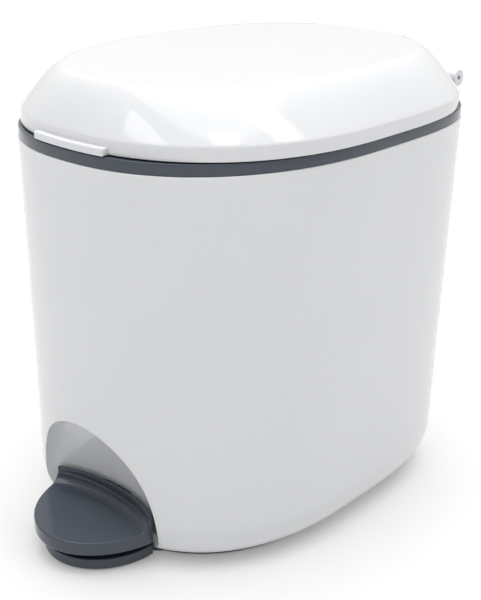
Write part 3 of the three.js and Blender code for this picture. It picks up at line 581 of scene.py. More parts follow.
def lid_levels(skin, bottom):
    """Levels of the lid's skin: upright skirt, swept shoulder and slightly dished panel."""
    outside = skin == 0
    edge = 0.5 * MM if outside else 0
    top = lid_high.z - skin
    levels = [
        Level(bottom, lid_skirt, skin, bevel=edge),
        Level(mix(bottom, crease_z, 0.3), mix_plans(lid_skirt, lid_crease, 0.3), skin),
        Level(mix(bottom, crease_z, 0.7), mix_plans(lid_skirt, lid_crease, 0.7), skin),
        Level(crease_z, lid_crease, skin, bevel=1.1 * MM if outside else 0),
    ]
    steps = 26
    for i in range(1, steps + 1):
        share = i / steps
        rise = 1 - (1 - share) ** SHOULDER_POWER
        inset = skin * mix(1, 0.6, share)
        z = mix(crease_z, top, rise)
        levels.append(Level(z, mix_plans(lid_crease, lid_panel, share), inset))
    for share in (0.97, 0.94, 0.9, 0.8, 0.65, 0.5, 0.35, 0.2, 0.08, 0):
        z = top - PANEL_DISH * (1 - share**2)
        levels.append(Level(z, lid_panel, share=share))
    return levels


def bucket_levels():
    """Levels of the bucket: up the outside, over its flat rim and down the inside."""
    steps = 8

    def corner(skin):
        radius = BUCKET_CORNER_RADIUS - skin
        for i in range(steps + 1):
            turn = math.pi / 2 * i / steps
            z = bucket_low.z + skin + radius * (1 - math.cos(turn))
            yield Level(z, bucket_plan(z), skin + radius * (1 - math.sin(turn)))

    outer, inner = list(corner(0)), list(corner(BUCKET_WALL))
    middle = [mix(outer[-1].z, bucket_rim_bottom, i / 8) for i in range(1, 9)]
    outer += [Level(z, bucket_plan(z), 0) for z in middle]
    inner += [Level(z, bucket_plan(z), BUCKET_WALL) for z in middle[:-1]]
    rim = [
        Level(bucket_rim_bottom, bucket_top, -BUCKET_RIM_WIDTH, bevel=0.6 * MM),
        Level(bucket_rim_top, bucket_top, -BUCKET_RIM_WIDTH, bevel=0.6 * MM),
        Level(bucket_rim_top, bucket_top, BUCKET_WALL, bevel=0.8 * MM),
    ]
    start = Level(outer[0].z, outer[0].plan, share=0)
    end = Level(inner[0].z, inner[0].plan, share=0)
    return [start, *outer, *rim, *reversed(inner), end]


def recess_footprint(gap, bottom, top):
    """The plan of the recess drawn inwards by a gap, and everything in front of its middle."""
    return carved(
        oval_mesh(RECESS_HALF_WIDTH - gap, RECESS_DEPTH - gap, recess_centre_y, bottom, top),
        ("UNION", box_mesh((-FAR, FAR), (-FAR, recess_centre_y), (bottom, top))),
    )


def pedal_slab(skin, back_gap, bottom, top):
    """An oval whose back follows the recess."""
    centre_y = pedal_low.y + PEDAL_HALF_LENGTH
    half_width, half_length = PEDAL_HALF_WIDTH - skin, PEDAL_HALF_LENGTH - skin
    return carved(
        oval_mesh(half_width, half_length, centre_y, bottom, top),
        ("INTERSECT", recess_footprint(back_gap, bottom - CUT_OVER, top + CUT_OVER)),
    )


def over_pad():
    """The space over the pad: it curves up into the face of the back wall."""
    gap = PEDAL_BACK_GAP + PEDAL_BACK_WALL
    depth = RECESS_DEPTH - gap
    face = plan(
        RECESS_HALF_WIDTH - gap, recess_centre_y - depth, recess_centre_y + depth, 2, 2
    )
    steps = 14
    levels = [Level(PEDAL_PAD_TOP, face, share=0)]
    for i in range(steps + 1):
        turn = math.pi / 2 * i / steps
        rise = PEDAL_FILLET * (1 - math.cos(turn))
        levels.append(Level(PEDAL_PAD_TOP + rise, face, PEDAL_FILLET * (1 - math.sin(turn))))
    levels += [Level(FAR, face), Level(FAR, face, share=0)]
    front = box_mesh((-FAR, FAR), (-FAR, recess_centre_y), (PEDAL_PAD_TOP, FAR))
    return carved(solid_loft(levels, 192), ("UNION", front))


# ---- Small pieces ----


def screw_mesh(head_radius, head_height, length):
    """A pan-head screw along +Z with its head's face at z = 0, a cross recess and a thread."""
    shank = 1.9 * MM
    pitch = 1.1 * MM
    profile = [
        (0, 0),
        (0.62 * head_radius, 0),
        (0.86 * head_radius, 0.14 * head_height),
        (head_radius, 0.5 * head_height),
        (head_radius, head_height),
        (shank, head_height),
    ]
    z = head_height + 0.6 * MM
    while z < length - 1.6 * shank:
        profile += [(0.82 * shank, z), (shank, z + 0.35 * pitch), (shank, z + 0.45 * pitch)]
        z += pitch
    profile += [(0.8 * shank, length - 1.2 * shank), (0, length)]
    arm, half = 0.55 * head_radius, 0.13 * head_radius
    depth = (-CUT_OVER, 0.55 * head_height)
    return carved(
        lathe_mesh(profile, 40),
        ("DIFFERENCE", box_mesh((-arm, arm), (-half, half), depth)),
        ("DIFFERENCE", box_mesh((-half, half), (-arm, arm), depth)),
    )


def clip_mesh(inner, outer, thickness):
    """A flat retaining clip in the X-Y plane: a ring with a mouth."""
    mouth = 0.75 * inner
    return carved(
        bar_mesh(outer, 0, thickness, segments=48, width=0.12 * MM),
        ("DIFFERENCE", bar_mesh(inner, -thickness, 2 * thickness, segments=48)),
        ("DIFFERENCE", box_mesh((-mouth, mouth), (0, 2 * outer), (-thickness, 2 * thickness))),
    )


def wire_curve(places, steps, radius):
    """A curve with a round section through these places, and its points."""
    curve = bpy.data.curves.new("wire", "CURVE")
    curve.dimensions = "3D"
    curve.bevel_depth = radius
    curve.bevel_resolution = 6
    curve.resolution_u = steps
    curve.use_fill_caps = True
    stops = curve.splines.new("BEZIER").bezier_points
    stops.add(len(places) - 1)
    for stop, place in zip(stops, places):
        stop.co = place
    return curve, stops


def bent_wire(points, radius, bend):
    """A round wire through points, with its corners bent to a radius."""
    points = [Vector(point) for point in points]
    places, pulls = points[:1], points[:1]
    for before, corner, after in zip(points, points[1:], points[2:]):
        for end in (before, after):
            place = corner + (end - corner).normalized() * bend
            places.append(place)
            pulls.append(place + (corner - place) * 0.55)
    places.append(points[-1])
    pulls.append(points[-1])
    curve, stops = wire_curve(places, 10, radius)
    for i, stop in enumerate(stops):
        stop.handle_left_type = stop.handle_right_type = "FREE"
        stop.handle_left = places[i] if i % 2 else pulls[i]
        stop.handle_right = pulls[i] if i % 2 else places[i]
    return curve_mesh(curve)


def smooth_wire(points, radius):
    """A round wire that flows through points."""
    curve, stops = wire_curve(points, 16, radius)
    for stop in stops:
        stop.handle_left_type = stop.handle_right_type = "AUTO"
    return curve_mesh(curve)


def curve_mesh(curve):
    """A curve's tube as a mesh, and the curve removed."""
    holder = bpy.data.objects.new("wire", curve)
    bpy.context.scene.collection.objects.link(holder)
    bm = evaluated(holder)
    bpy.data.objects.remove(holder)
    bpy.data.curves.remove(curve)
    return bm


# ---- Finishes ----


def srgb(code):
    """An sRGB hex colour as linear RGB."""
    parts = [int(code[i : i + 2], 16) / 255 for i in (1, 3, 5)]
    return tuple(p / 12.92 if p <= 0.04045 else ((p + 0.055) / 1.055) ** 2.4 for p in parts)


def add(tree, kind, settings=None, links=None):
    """Adds a node, with its inputs or properties set and its inputs linked."""
    made = tree.nodes.new("ShaderNode" + kind)
    for name, value in (settings or {}).items():
        if isinstance(name, int) or name in made.inputs:
            made.inputs[name].default_value = value
        else:
            setattr(made, name, value)
    for name, source in (links or {}).items():
        tree.links.new(source, made.inputs[name])
    return made


def new_finish(name):
    """An empty material with its surface shader, its output and the object's coordinates."""
    finish = bpy.data.materials.new(name)
    finish.use_nodes = True
    tree = finish.node_tree
    tree.nodes.clear()
    place = add(tree, "TexCoord").outputs["Object"]
    surface = add(tree, "BsdfPrincipled")
    add(tree, "OutputMaterial", links={"Surface": surface.outputs["BSDF"]})
    return finish, tree, place, surface


def noise(tree, place, cell_mm, detail, roughness=0.5):
    """Cloudy noise whose cells are this many millimetres across."""
    settings = {"Scale": 1 / (cell_mm * MM), "Detail": detail, "Roughness": roughness}
    return add(tree, "TexNoise", settings, {"Vector": place}).outputs["Fac"]


def remap(tree, value, start, end, low, high):
    """Takes the range from start to end onto the one from low to high."""
    settings = {"From Min": start, "From Max": end, "To Min": low, "To Max": high}
    return add(tree, "MapRange", settings, {"Value": value}).outputs["Result"]


def blend(tree, share, first, second):
    """Two colours mixed by a share of the second."""
    settings = {"data_type": "RGBA", 6: (*first, 1), 7: (*second, 1)}
    return add(tree, "Mix", settings, {0: share}).outputs[2]


def stretched(tree, place, scale):
    return add(tree, "Mapping", {"Scale": scale}, {"Vector": place}).outputs["Vector"]


def maths(tree, operation, first, second):
    links = {0: first, 1: second}
    return add(tree, "Math", {"operation": operation}, links).outputs["Value"]


def dress(tree, surface, tone, roughness, height, strength, depth):
    """Links a colour, a roughness and a bump to a surface."""
    bump = add(tree, "Bump", {"Strength": strength, "Distance": depth}, {"Height": height})
    tree.links.new(tone, surface.inputs["Base Color"])
    tree.links.new(roughness, surface.inputs["Roughness"])
    tree.links.new(bump.outputs["Normal"], surface.inputs["Normal"])


def moulded(name, colour, cloud, rough, ripple_mm, ripple_depth, scuff):
    """A moulded plastic. Cloud is the second colour that drifts through it, rough its lowest and
    highest roughness, ripple its skin's waviness or grain, scuff how far rubbing dulls it."""
    finish, tree, place, surface = new_finish(name)
    tone = blend(tree, noise(tree, place, 70, 3, 0.55), colour, cloud)
    specks = remap(tree, noise(tree, place, 0.9, 1), 0.3, 0.7, 0.985, 1.015)
    shade = add(tree, "VectorMath", {"operation": "SCALE"}, {0: tone, "Scale": specks})
    rubbed = noise(tree, stretched(tree, place, (1, 1, 5)), 24, 5, 0.62)
    dulled = remap(tree, rubbed, 0.35, 0.72, *rough)
    scratches = remap(tree, noise(tree, place, 3, 6, 0.7), 0.55, 0.75, 0, scuff)
    roughness = maths(tree, "ADD", dulled, scratches)
    ripple = noise(tree, place, ripple_mm, 2)
    dress(tree, surface, shade.outputs["Vector"], roughness, ripple, 1, ripple_depth * MM)
    surface.inputs["IOR"].default_value = 1.49
    return finish


def drawn_metal(name, light, dark, rough, run, grain_mm):
    """A zinc-plated metal. Run stretches its grain along the way it was drawn or rolled."""
    finish, tree, place, surface = new_finish(name)
    grain = noise(tree, stretched(tree, place, run), grain_mm, 4, 0.6)
    bloom = add(tree, "TexVoronoi", {"Scale": 1 / (5 * MM), "Randomness": 1}, {"Vector": place})
    patches = add(tree, "Math", {"operation": "MULTIPLY", 1: 0.5}, {0: bloom.outputs["Distance"]})
    tone = blend(tree, maths(tree, "ADD", grain, patches.outputs["Value"]), dark, light)
    roughness = remap(tree, grain, 0, 1, *rough)
    dress(tree, surface, tone, roughness, grain, 0.6, 0.02 * MM)
    surface.inputs["Metallic"].default_value = 1
    return finish


def floor_paper(name, colour, cloud):
    """Matt paper sweep: a faint fibre keeps the pale ground from looking like a void."""
    finish, tree, place, surface = new_finish(name)
    tone = blend(tree, noise(tree, place, 2, 6), colour, cloud)
    tree.links.new(tone, surface.inputs["Base Color"])
    surface.inputs["Roughness"].default_value = 0.9
    surface.inputs["Specular IOR Level"].default_value = 0.1
    surface.inputs["Emission Color"].default_value = (1, 1, 1, 1)
    surface.inputs["Emission Strength"].default_value = FLOOR_GLOW
    return finish


FINISHES = {}


def make_finishes(colours):
    """All the finishes, each named for its real material and how it was made."""
    FINISHES.update(
        # Polished-mould polypropylene: a clean gloss with slight waviness where the wall cooled.
        white=moulded(
            "polypropylene_gloss_moulded_white", colours.shell, colours.shell_cloud,
            (0.06, 0.11), 26, 0.03, 0.05,
        ),
        # Polished-mould ABS in slate: dark enough for sharp reflections, dulled where shoes rub.
        slate=moulded(
            "abs_gloss_moulded_slate", colours.trim, colours.trim_cloud,
            (0.12, 0.22), 18, 0.02, 0.05,
        ),
        # Spark-textured polypropylene: a fine even grain that scatters the light.
        bucket=moulded(
            "polypropylene_spark_textured_slate", colours.bucket, colours.bucket_cloud,
            (0.42, 0.55), 0.7, 0.05, 0.08,
        ),
        # Glass-filled nylon: satin, with a faint mottle of fibres near the skin.
        bracket=moulded(
            "nylon_glass_filled_moulded_grey", srgb("#6B7077"), srgb("#787D84"),
            (0.34, 0.46), 1.6, 0.03, 0.1,
        ),
        # Soft thermoplastic rubber: matt and almost black.
        rubber=moulded(
            "rubber_moulded_black", srgb("#242527"), srgb("#2E2F31"),
            (0.72, 0.88), 0.8, 0.04, 0.05,
        ),
        # Zinc-plated steel strip, rolled along Y: soft long streaks.
        strip=drawn_metal(
            "steel_strip_zinc_plated", srgb("#C3C6CA"), srgb("#9A9EA4"), (0.28, 0.44),
            (1, 0.06, 1), 0.9,
        ),
        # Zinc-plated drawn wire standing up the bin: streaks that run along its length.
        wire=drawn_metal(
            "steel_wire_drawn_zinc_plated", srgb("#C9CBCE"), srgb("#A2A5AA"), (0.22, 0.36),
            (1, 1, 0.05), 0.7,
        ),
        # Bright turned steel: even fine rings too small to see, so only a slight mottle shows.
        screw=drawn_metal(
            "steel_screw_turned_zinc_plated", srgb("#BFC1C4"), srgb("#8F9298"), (0.25, 0.4),
            (1, 1, 1), 0.6,
        ),
        # Paper sweep for the studio.
        floor=floor_paper("paper_sweep_white", srgb("#D4D4D4"), srgb("#D0D0D0")),
    )


# ---- Properties ----


def length(name, description, default):
    return FloatProperty(
        name=name, description=description, default=default, min=0.0,
        subtype="DISTANCE", unit="LENGTH",
    )


def colour(name, description, code):
    return FloatVectorProperty(
        name=name, description=description, default=srgb(code), size=3, subtype="COLOR",
        min=0.0, max=1.0,
    )


class TrashCanSizes(bpy.types.PropertyGroup):
    outline_steps: IntProperty(
        name="Outline steps", description="Points around each shell", default=192, min=48
    )
    rim_bevel: length("Rim edge", "Rounding of the body's top edge", 0.8 * MM)
    recess_bevel: length("Recess edge", "Rounding of the pedal recess's edge", 0.7 * MM)
    collar_bevel: length("Collar edge", "Rounding of the collar's edges", 0.6 * MM)
    tab_bevel: length("Tab edge", "Rounding of the lid's finger tab", 1.0 * MM)
    pedal_voxel: length("Pedal detail", "Size of the pedal's mesh cells", 0.8 * MM)
    small_bevel: length("Small edges", "Rounding of brackets and metalwork", 0.4 * MM)
    wire_bend: length("Wire bend", "Radius of the push rod's bends", 4 * MM)


class TrashCanColours(bpy.types.PropertyGroup):
    shell: colour("Shell", "Colour of the white shell and lid", "#E3E4E6")
    shell_cloud: colour("Shell cloud", "Second tone that drifts through the shell", "#DFE0E3")
    trim: colour("Trim", "Colour of the pedal, collar and base", "#454C57")
    trim_cloud: colour("Trim cloud", "Second tone that drifts through the trim", "#3D444E")
    bucket: colour("Bucket", "Colour of the lift-out bucket", "#474C54")
    bucket_cloud: colour("Bucket cloud", "Second tone that drifts through the bucket", "#4E535B")


# ---- Operators ----


class TrashCanOperator:
    """What the operators share: the properties that the panel shows."""

    bl_options = {"REGISTER", "UNDO"}

    @property
    def sizes(self):
        return bpy.context.scene.trash_can_sizes


class TRASHCAN_OT_stage(TrashCanOperator, bpy.types.Operator):
    """Pale floor, soft studio lights and the camera"""

    bl_idname = "trash_can.stage"
    bl_label = "Stage"

    def execute(self, context):
        make_floor()
        make_sky()
        make_lamps()
        make_camera()
        return {"FINISHED"}


def make_floor():
    bm = bmesh.new()
    bmesh.ops.create_grid(bm, x_segments=1, y_segments=1, size=12, matrix=shift(z=-0.1 * MM))
    floor = as_object("floor", bm)
    floor.data.materials.append(FINISHES["floor"])


def make_sky():
    """A white studio: brighter overhead than at the walls."""
    world = bpy.data.worlds.new("studio")
    bpy.context.scene.world = world
    world.use_nodes = True
    tree = world.node_tree
    tree.nodes.clear()
    place = add(tree, "TexCoord").outputs["Generated"]
    height = add(tree, "SeparateXYZ", links={"Vector": place}).outputs["Z"]
    height = remap(tree, height, 0, 1, 0, 1)
    rise = add(tree, "Math", {"operation": "POWER", 1: SKY_POWER}, {0: height}).outputs["Value"]
    tone = blend(tree, rise, srgb(SKY_HORIZON), srgb(SKY_ZENITH))
    facing = add(
        tree, "VectorMath", {"operation": "DOT_PRODUCT", 1: BACKDROP_SIDE}, {0: place}
    )
    behind = remap(tree, facing.outputs["Value"], *BACKDROP_EDGES, 0, BACKDROP_SHARE)
    backdrop = add(
        tree, "Mix", {"data_type": "RGBA", 7: (*srgb(BACKDROP_COLOUR), 1)}, {0: behind, 6: tone}
    )
    light = add(tree, "Background", {"Strength": SKY_STRENGTH}, {"Color": backdrop.outputs[2]})
    add(tree, "OutputWorld", links={"Surface": light.outputs["Background"]})


def link(name, data):
    made = bpy.data.objects.new(name, data)
    bpy.context.scene.collection.objects.link(made)
    made.rotation_mode = "QUATERNION"
    return made


def make_lamps():
    overhead = bpy.data.lights.new("overhead", "SUN")
    overhead.energy = OVERHEAD_ENERGY
    overhead.angle = math.radians(OVERHEAD_SPREAD)
    link("overhead", overhead)
    for name, place, target, size, power in SOFTBOXES:
        data = bpy.data.lights.new(name, "AREA")
        data.shape = "RECTANGLE"
        data.size, data.size_y = size
        data.energy = power
        made = link(name, data)
        made.location = place
        aim = Vector(target) - Vector(place)
        made.rotation_quaternion = aim.to_track_quat("-Z", "Y")


def make_camera():
    """Three-quarter view from the pedal's right, a little above the lid."""
    azimuth, elevation, roll = (math.radians(a) for a in CAMERA_ANGLES)
    across = math.cos(elevation)
    back = Vector(
        (math.sin(azimuth) * across, -math.cos(azimuth) * across, math.sin(elevation))
    )
    data = bpy.data.cameras.new("camera")
    data.lens, data.sensor_width = CAMERA_LENS, 36
    data.shift_x, data.shift_y = CAMERA_SHIFT
    camera = link("camera", data)
    camera.location = Vector(CAMERA_TARGET) + back * CAMERA_DISTANCE
    aim = (-back).to_track_quat("-Z", "Y")
    camera.rotation_quaternion = aim @ Matrix.Rotation(roll, 3, "Z").to_quaternion()
    bpy.context.scene.camera = camera


class TRASHCAN_OT_outer_body(TrashCanOperator, bpy.types.Operator):
    """Tapered white shell with the pedal's hollow and four screw bosses"""

    bl_idname = "trash_can.outer_body"
    bl_label = "Outer body"

    def execute(self, context):
        sizes = self.sizes
        steps = sizes.outline_steps
        bottom, top = body_low.z, body_high.z
        outside = solid_loft(body_levels(0, bottom, top, sizes.rim_bevel), steps)
        inside = solid_loft(body_levels(BODY_WALL, bottom - REST_GAP, top + CUT_OVER, 0), steps)
        cavity = carved(inside, ("DIFFERENCE", recess_mesh(BODY_WALL)))
        back = recess_centre_y + RECESS_DEPTH
        half, reach = LEVER_SLOT_HALF_WIDTH, 3 * BODY_WALL
        slot = box_mesh((-half, half), (back - reach, back + reach), LEVER_SLOT_Z)
        shell = carved(
            outside,
            ("DIFFERENCE", cavity),
            ("DIFFERENCE", recess_mesh(0)),
            ("DIFFERENCE", slot),
        )
        round_recess_edge(shell, sizes.recess_bevel)
        limit = solid_loft(body_levels(0.6 * BODY_WALL, bottom, top, 0), steps)
        for i in range(1, 5):
            join(shell, carved(boss_mesh(f"base_screw_{i}"), ("INTERSECT", limit.copy())))
        limit.free()
        finish_piece("body_shell", shell, "white", "outer_body")
        return {"FINISHED"}


def round_recess_edge(shell, width):
    """Rounds the edge where the hollow breaks out of the front."""
    bmesh.ops.remove_doubles(shell, verts=shell.verts, dist=0.15 * MM)
    edges = []
    for edge in shell.edges:
        point = (edge.verts[0].co + edge.verts[1].co) / 2
        if edge.calc_face_angle(0) < math.radians(25) or point.z < RECESS_EDGE_START:
            continue
        if abs(recess_share(point) - 1) < 0.01 and point.y < recess_centre_y + RECESS_EDGE_REACH:
            edges.append(edge)
    bevel(shell, edges, width, 3)


def boss_mesh(screw):
    """The tube that a base screw bites into, tied to the side wall by a rib."""
    place = middle(screw)
    bottom, top = BASE_BOSS_Z
    tube = carved(
        bar_mesh(BOSS_RADIUS, bottom, top, width=BOSS_EDGE),
        ("DIFFERENCE", bar_mesh(SCREW_BORE, 0, FAR, segments=32)),
    )
    side = math.copysign(1, place.x)
    near = place.x + side * (BOSS_RADIUS - BOSS_EDGE)
    wall = side * (body_base.half_width - RIB_END_INSET)
    rib_y = (place.y - RIB_HALF_WIDTH, place.y + RIB_HALF_WIDTH)
    rib = box_mesh(sorted((near, wall)), rib_y, (bottom, top))
    return join(moved(tube, shift(place.x, place.y)), rib)


class TRASHCAN_OT_collar(TrashCanOperator, bpy.types.Operator):
    """Slate band between the body and the lid, which the bucket hangs in"""

    bl_idname = "trash_can.collar"
    bl_label = "Collar"

    def execute(self, context):
        sizes = self.sizes
        inner = COLLAR_INSET + COLLAR_BAND
        skirt = body_plan(collar_low.z)
        skirt_inner = COLLAR_SKIRT_INSET + COLLAR_SKIRT_WALL
        hole = -BUCKET_HOLE_CLEARANCE
        edge = sizes.collar_bevel
        levels = [
            Level(collar_bottom, body_top, COLLAR_INSET, bevel=0.3 * MM),
            Level(collar_high.z, body_top, COLLAR_INSET, bevel=edge),
            Level(collar_high.z, body_top, inner, bevel=edge / 2),
            Level(deck_top, body_top, inner),
            Level(deck_top, bucket_top, hole, bevel=edge / 2),
            Level(collar_bottom, bucket_top, hole),
            Level(collar_bottom, skirt, skirt_inner),
            Level(collar_low.z, skirt, skirt_inner),
            Level(collar_low.z, skirt, COLLAR_SKIRT_INSET),
            Level(collar_bottom, skirt, COLLAR_SKIRT_INSET),
        ]
        rod_y = middle("push_rod").y
        slot = box_mesh(
            (-ROD_SLOT_HALF_WIDTH, ROD_SLOT_HALF_WIDTH),
            (rod_y - ROD_SLOT_FRONT, body_top.back_y - inner - REST_GAP),
            (collar_low.z - CUT_OVER, collar_high.z - edge),
        )
        ring = carved(solid_loft(levels, sizes.outline_steps), ("DIFFERENCE", slot))
        finish_piece("collar_band", ring, "slate", "collar_ring")
        return {"FINISHED"}


class TRASHCAN_OT_lid(TrashCanOperator, bpy.types.Operator):
    """White lid: upright skirt, swept shoulder, dished panel and finger tab"""

    bl_idname = "trash_can.lid"
    bl_label = "Lid"

    def execute(self, context):
        sizes = self.sizes
        down, up = lid_levels(0, lid_bottom), lid_levels(LID_WALL, lid_bottom)
        shell = solid_loft([*reversed(down), *up], sizes.outline_steps)
        arm_half = HINGE_ARM_WIDTH / 2 + CUT_OVER
        arm_top = housing_high.z + HINGE_ARM_CLEARANCE
        back_y = (bracket_back - BRACKET_NOTCH_REACH, housing_high.y)
        for x, half, top in (
            (-HINGE_ARM_X, arm_half, arm_top),
            (HINGE_ARM_X, arm_half, arm_top),
            (0, ROD_SLOT_HALF_WIDTH, crease_z + CUT_OVER),
        ):
            notch = box_mesh((x - half, x + half), back_y, (lid_bottom - CUT_OVER, top))
            shell = carved(shell, ("DIFFERENCE", notch))
        join(shell, finger_tab(sizes.tab_bevel, sizes.outline_steps))
        for i in (1, 2):
            join(shell, lid_boss(f"bracket_screw_{i}"))
        finish_piece("lid_shell", shell, "white", "lid", "lid_group")
        return {"FINISHED"}


def band(shape, outer, inner, bottom, top, steps):
    """An upright band between two insets of a plan."""
    levels = [
        Level(bottom, shape, outer),
        Level(top, shape, outer),
        Level(top, shape, inner),
        Level(bottom, shape, inner),
    ]
    return solid_loft(levels, steps)


def finger_tab(width, steps):
    """The lip under the lid's front that a finger lifts it by."""
    bottom = lid_low.z
    top = bottom + TAB_THICKNESS
    front = lid_skirt.front_y - TAB_REACH
    block = box_mesh(
        (-TAB_HALF_WIDTH, TAB_HALF_WIDTH), (front - CUT_OVER, front + TAB_DEPTH),
        (bottom - CUT_OVER, top + CUT_OVER),
    )
    tab = carved(
        band(lid_skirt, -TAB_REACH, TAB_OVERLAP, bottom, top, steps), ("INTERSECT", block)
    )
    near = lid_skirt.front_y + TAB_EDGE_REACH
    edges = [
        edge for edge in sharp_edges(tab, 40) if max(v.co.y for v in edge.verts) < near
    ]
    bevel(tab, edges, width, 4)
    return tab


def lid_boss(screw):
    """The tube under the lid that a bracket screw bites into."""
    place = middle(screw)
    tube = carved(
        bar_mesh(BOSS_RADIUS, LID_BOSS_START, lid_skirt.back_y + 0.6 * MM, "Y", width=BOSS_EDGE),
        ("DIFFERENCE", bar_mesh(SCREW_BORE, LID_BOSS_START - CUT_OVER, bracket_back, "Y", 32)),
    )
    return moved(tube, shift(place.x, 0, place.z))


class TRASHCAN_OT_hinge(TrashCanOperator, bpy.types.Operator):
    """Hinge housing behind the lid, its pin and the bracket under the lid"""

    bl_idname = "trash_can.hinge"
    bl_label = "Hinge"

    def execute(self, context):
        sizes = self.sizes
        housing = softened("hinge_housing", 2 * sizes.small_bevel)
        finish_piece("hinge_cover", housing, "white", "hinge_housing")
        bracket = softened("lid_hinge_bracket", sizes.small_bevel)
        finish_piece("lid_bracket", bracket, "bracket", "lid_hinge_bracket", "lid_group")
        pin_piece("hinge_pin", "hinge_rod")
        return {"FINISHED"}


def pin_piece(node, name):
    """A round pin along X with chamfered ends in place of a node."""
    low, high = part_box(node)
    half, radius = (high.x - low.x) / 2, (high.y - low.y) / 2
    chamfer = 0.25 * radius
    profile = [
        (0, -half), (radius - chamfer, -half), (radius, chamfer - half),
        (radius, half - chamfer), (radius - chamfer, half), (0, half),
    ]
    pin = moved(lathe_mesh(profile), TURNS["X"], Matrix.Translation(middle(node)))
    finish_piece(name, pin, "screw", node)


class TRASHCAN_OT_pedal(TrashCanOperator, bpy.types.Operator):
    """Slate pedal: an oval pad that sweeps up into a low curved wall, hollow underneath"""

    bl_idname = "trash_can.pedal"
    bl_label = "Pedal"

    def execute(self, context):
        sizes = self.sizes
        bottom = pedal_low.z
        lever_top = LEVER_TOP + REST_GAP
        inner_gap = PEDAL_BACK_GAP + PEDAL_BACK_WALL
        back_y = recess_centre_y + RECESS_DEPTH - PEDAL_BACK_GAP
        half = LEVER_HALF_WIDTH
        saddle = box_mesh(
            (-half, half),
            (back_y - SADDLE_OVERLAP, pedal_high.y),
            (lever_top, lever_top + SADDLE_THICKNESS),
        )
        half += LEVER_NOTCH_GAP
        notch = box_mesh(
            (-half, half),
            (back_y - PEDAL_BACK_WALL - REST_GAP, pedal_high.y),
            (bottom - CUT_OVER, lever_top),
        )
        hollow = pedal_slab(
            PEDAL_WALL, inner_gap, bottom - CUT_OVER, PEDAL_PAD_TOP - PEDAL_WALL
        )
        form = carved(
            pedal_slab(0, PEDAL_BACK_GAP, bottom, pedal_high.z),
            ("DIFFERENCE", over_pad()),
            ("DIFFERENCE", hollow),
            ("DIFFERENCE", notch),
            ("UNION", saddle),
        )
        pedal = remeshed(form, sizes.pedal_voxel, 5)
        finish_piece("pedal_pad", pedal, "slate", "pedal", "pedal_group", sharp=180)
        return {"FINISHED"}


class TRASHCAN_OT_base(TrashCanOperator, bpy.types.Operator):
    """Base plate with its front tongue, bearing posts and rubber feet"""

    bl_idname = "trash_can.base"
    bl_label = "Base"

    def execute(self, context):
        finish_piece("base_pan", base_mesh(self.sizes.outline_steps), "slate", "base_plate")
        for i in range(1, 5):
            node = f"foot_{i}"
            place, top = middle(node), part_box(node)[1].z
            profile = [
                (0, 0.4 * MM), (4 * MM, 0.4 * MM), (4.4 * MM, 0), (8.4 * MM, 0),
                (9 * MM, 0.5 * MM), (9 * MM, top), (0, top),
            ]
            foot = moved(lathe_mesh(profile), shift(place.x, place.y))
            finish_piece(f"foot_pad_{i}", foot, "rubber", node)
        return {"FINISHED"}


def base_mesh(steps):
    """The floor of the bin: a slab in the body's plan, the tongue under the pedal and two posts."""
    bottom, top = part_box("base_plate")[0].z, BASE_TOP
    floor = solid_loft(
        [
            Level(bottom, body_base, share=0),
            Level(bottom, body_base, BASE_INSET),
            Level(top, body_base, BASE_INSET, bevel=0.3 * MM),
            Level(top, body_base, share=0),
        ],
        steps,
    )
    half_width, half_length, setback = TONGUE_OVAL
    centre_y = recess_centre_y + setback
    wall = TONGUE_WALL
    lip = oval_mesh(half_width, half_length, centre_y, bottom, TONGUE_TOP)
    bevel(lip, sharp_edges(lip, 60), 0.9 * MM, 4)
    hollow = carved(
        oval_mesh(half_width - wall, half_length - wall, centre_y, 0, TONGUE_TOP - wall),
        ("INTERSECT", recess_footprint(TONGUE_BACK_GAP + wall, -CUT_OVER, FAR)),
    )
    lip = carved(
        lip,
        ("INTERSECT", recess_footprint(TONGUE_BACK_GAP, -CUT_OVER, FAR)),
        ("DIFFERENCE", hollow),
    )
    half_width, half_length, setback = BASE_SHOULDERS
    shoulders = oval_mesh(half_width, half_length, recess_centre_y + setback, bottom, top)
    axle = middle("pedal_axle")
    to_axle = shift(0, axle.y, axle.z)
    adds, cuts = [shoulders, lip], [moved(bar_mesh(AXLE_BORE, -FAR, FAR, "X"), to_axle)]
    for side in (-1, 1):
        x = sorted(side * edge for edge in POST_X)
        post_y = (axle.y - POST_RADIUS, axle.y + POST_RADIUS)
        adds.append(box_mesh(x, post_y, (top - CUT_OVER, axle.z)))
        adds.append(moved(bar_mesh(POST_RADIUS, *x, "X"), to_axle))
    for i in range(1, 5):
        place = middle(f"base_screw_{i}")
        adds.append(moved(bar_mesh(7 * MM, top - CUT_OVER, 6 * MM), shift(place.x, place.y)))
        for radius, depth in BASE_SCREW_BORES:
            bore = bar_mesh(radius, -CUT_OVER, depth)
            cuts.append(moved(bore, shift(place.x, place.y)))
        place = middle(f"foot_{i}")
        pocket = bar_mesh(FOOT_POCKET_RADIUS, -CUT_OVER, FOOT_POCKET_DEPTH)
        cuts.append(moved(pocket, shift(place.x, place.y)))
    return carved(
        floor, *(("UNION", part) for part in adds), *(("DIFFERENCE", part) for part in cuts)
    )


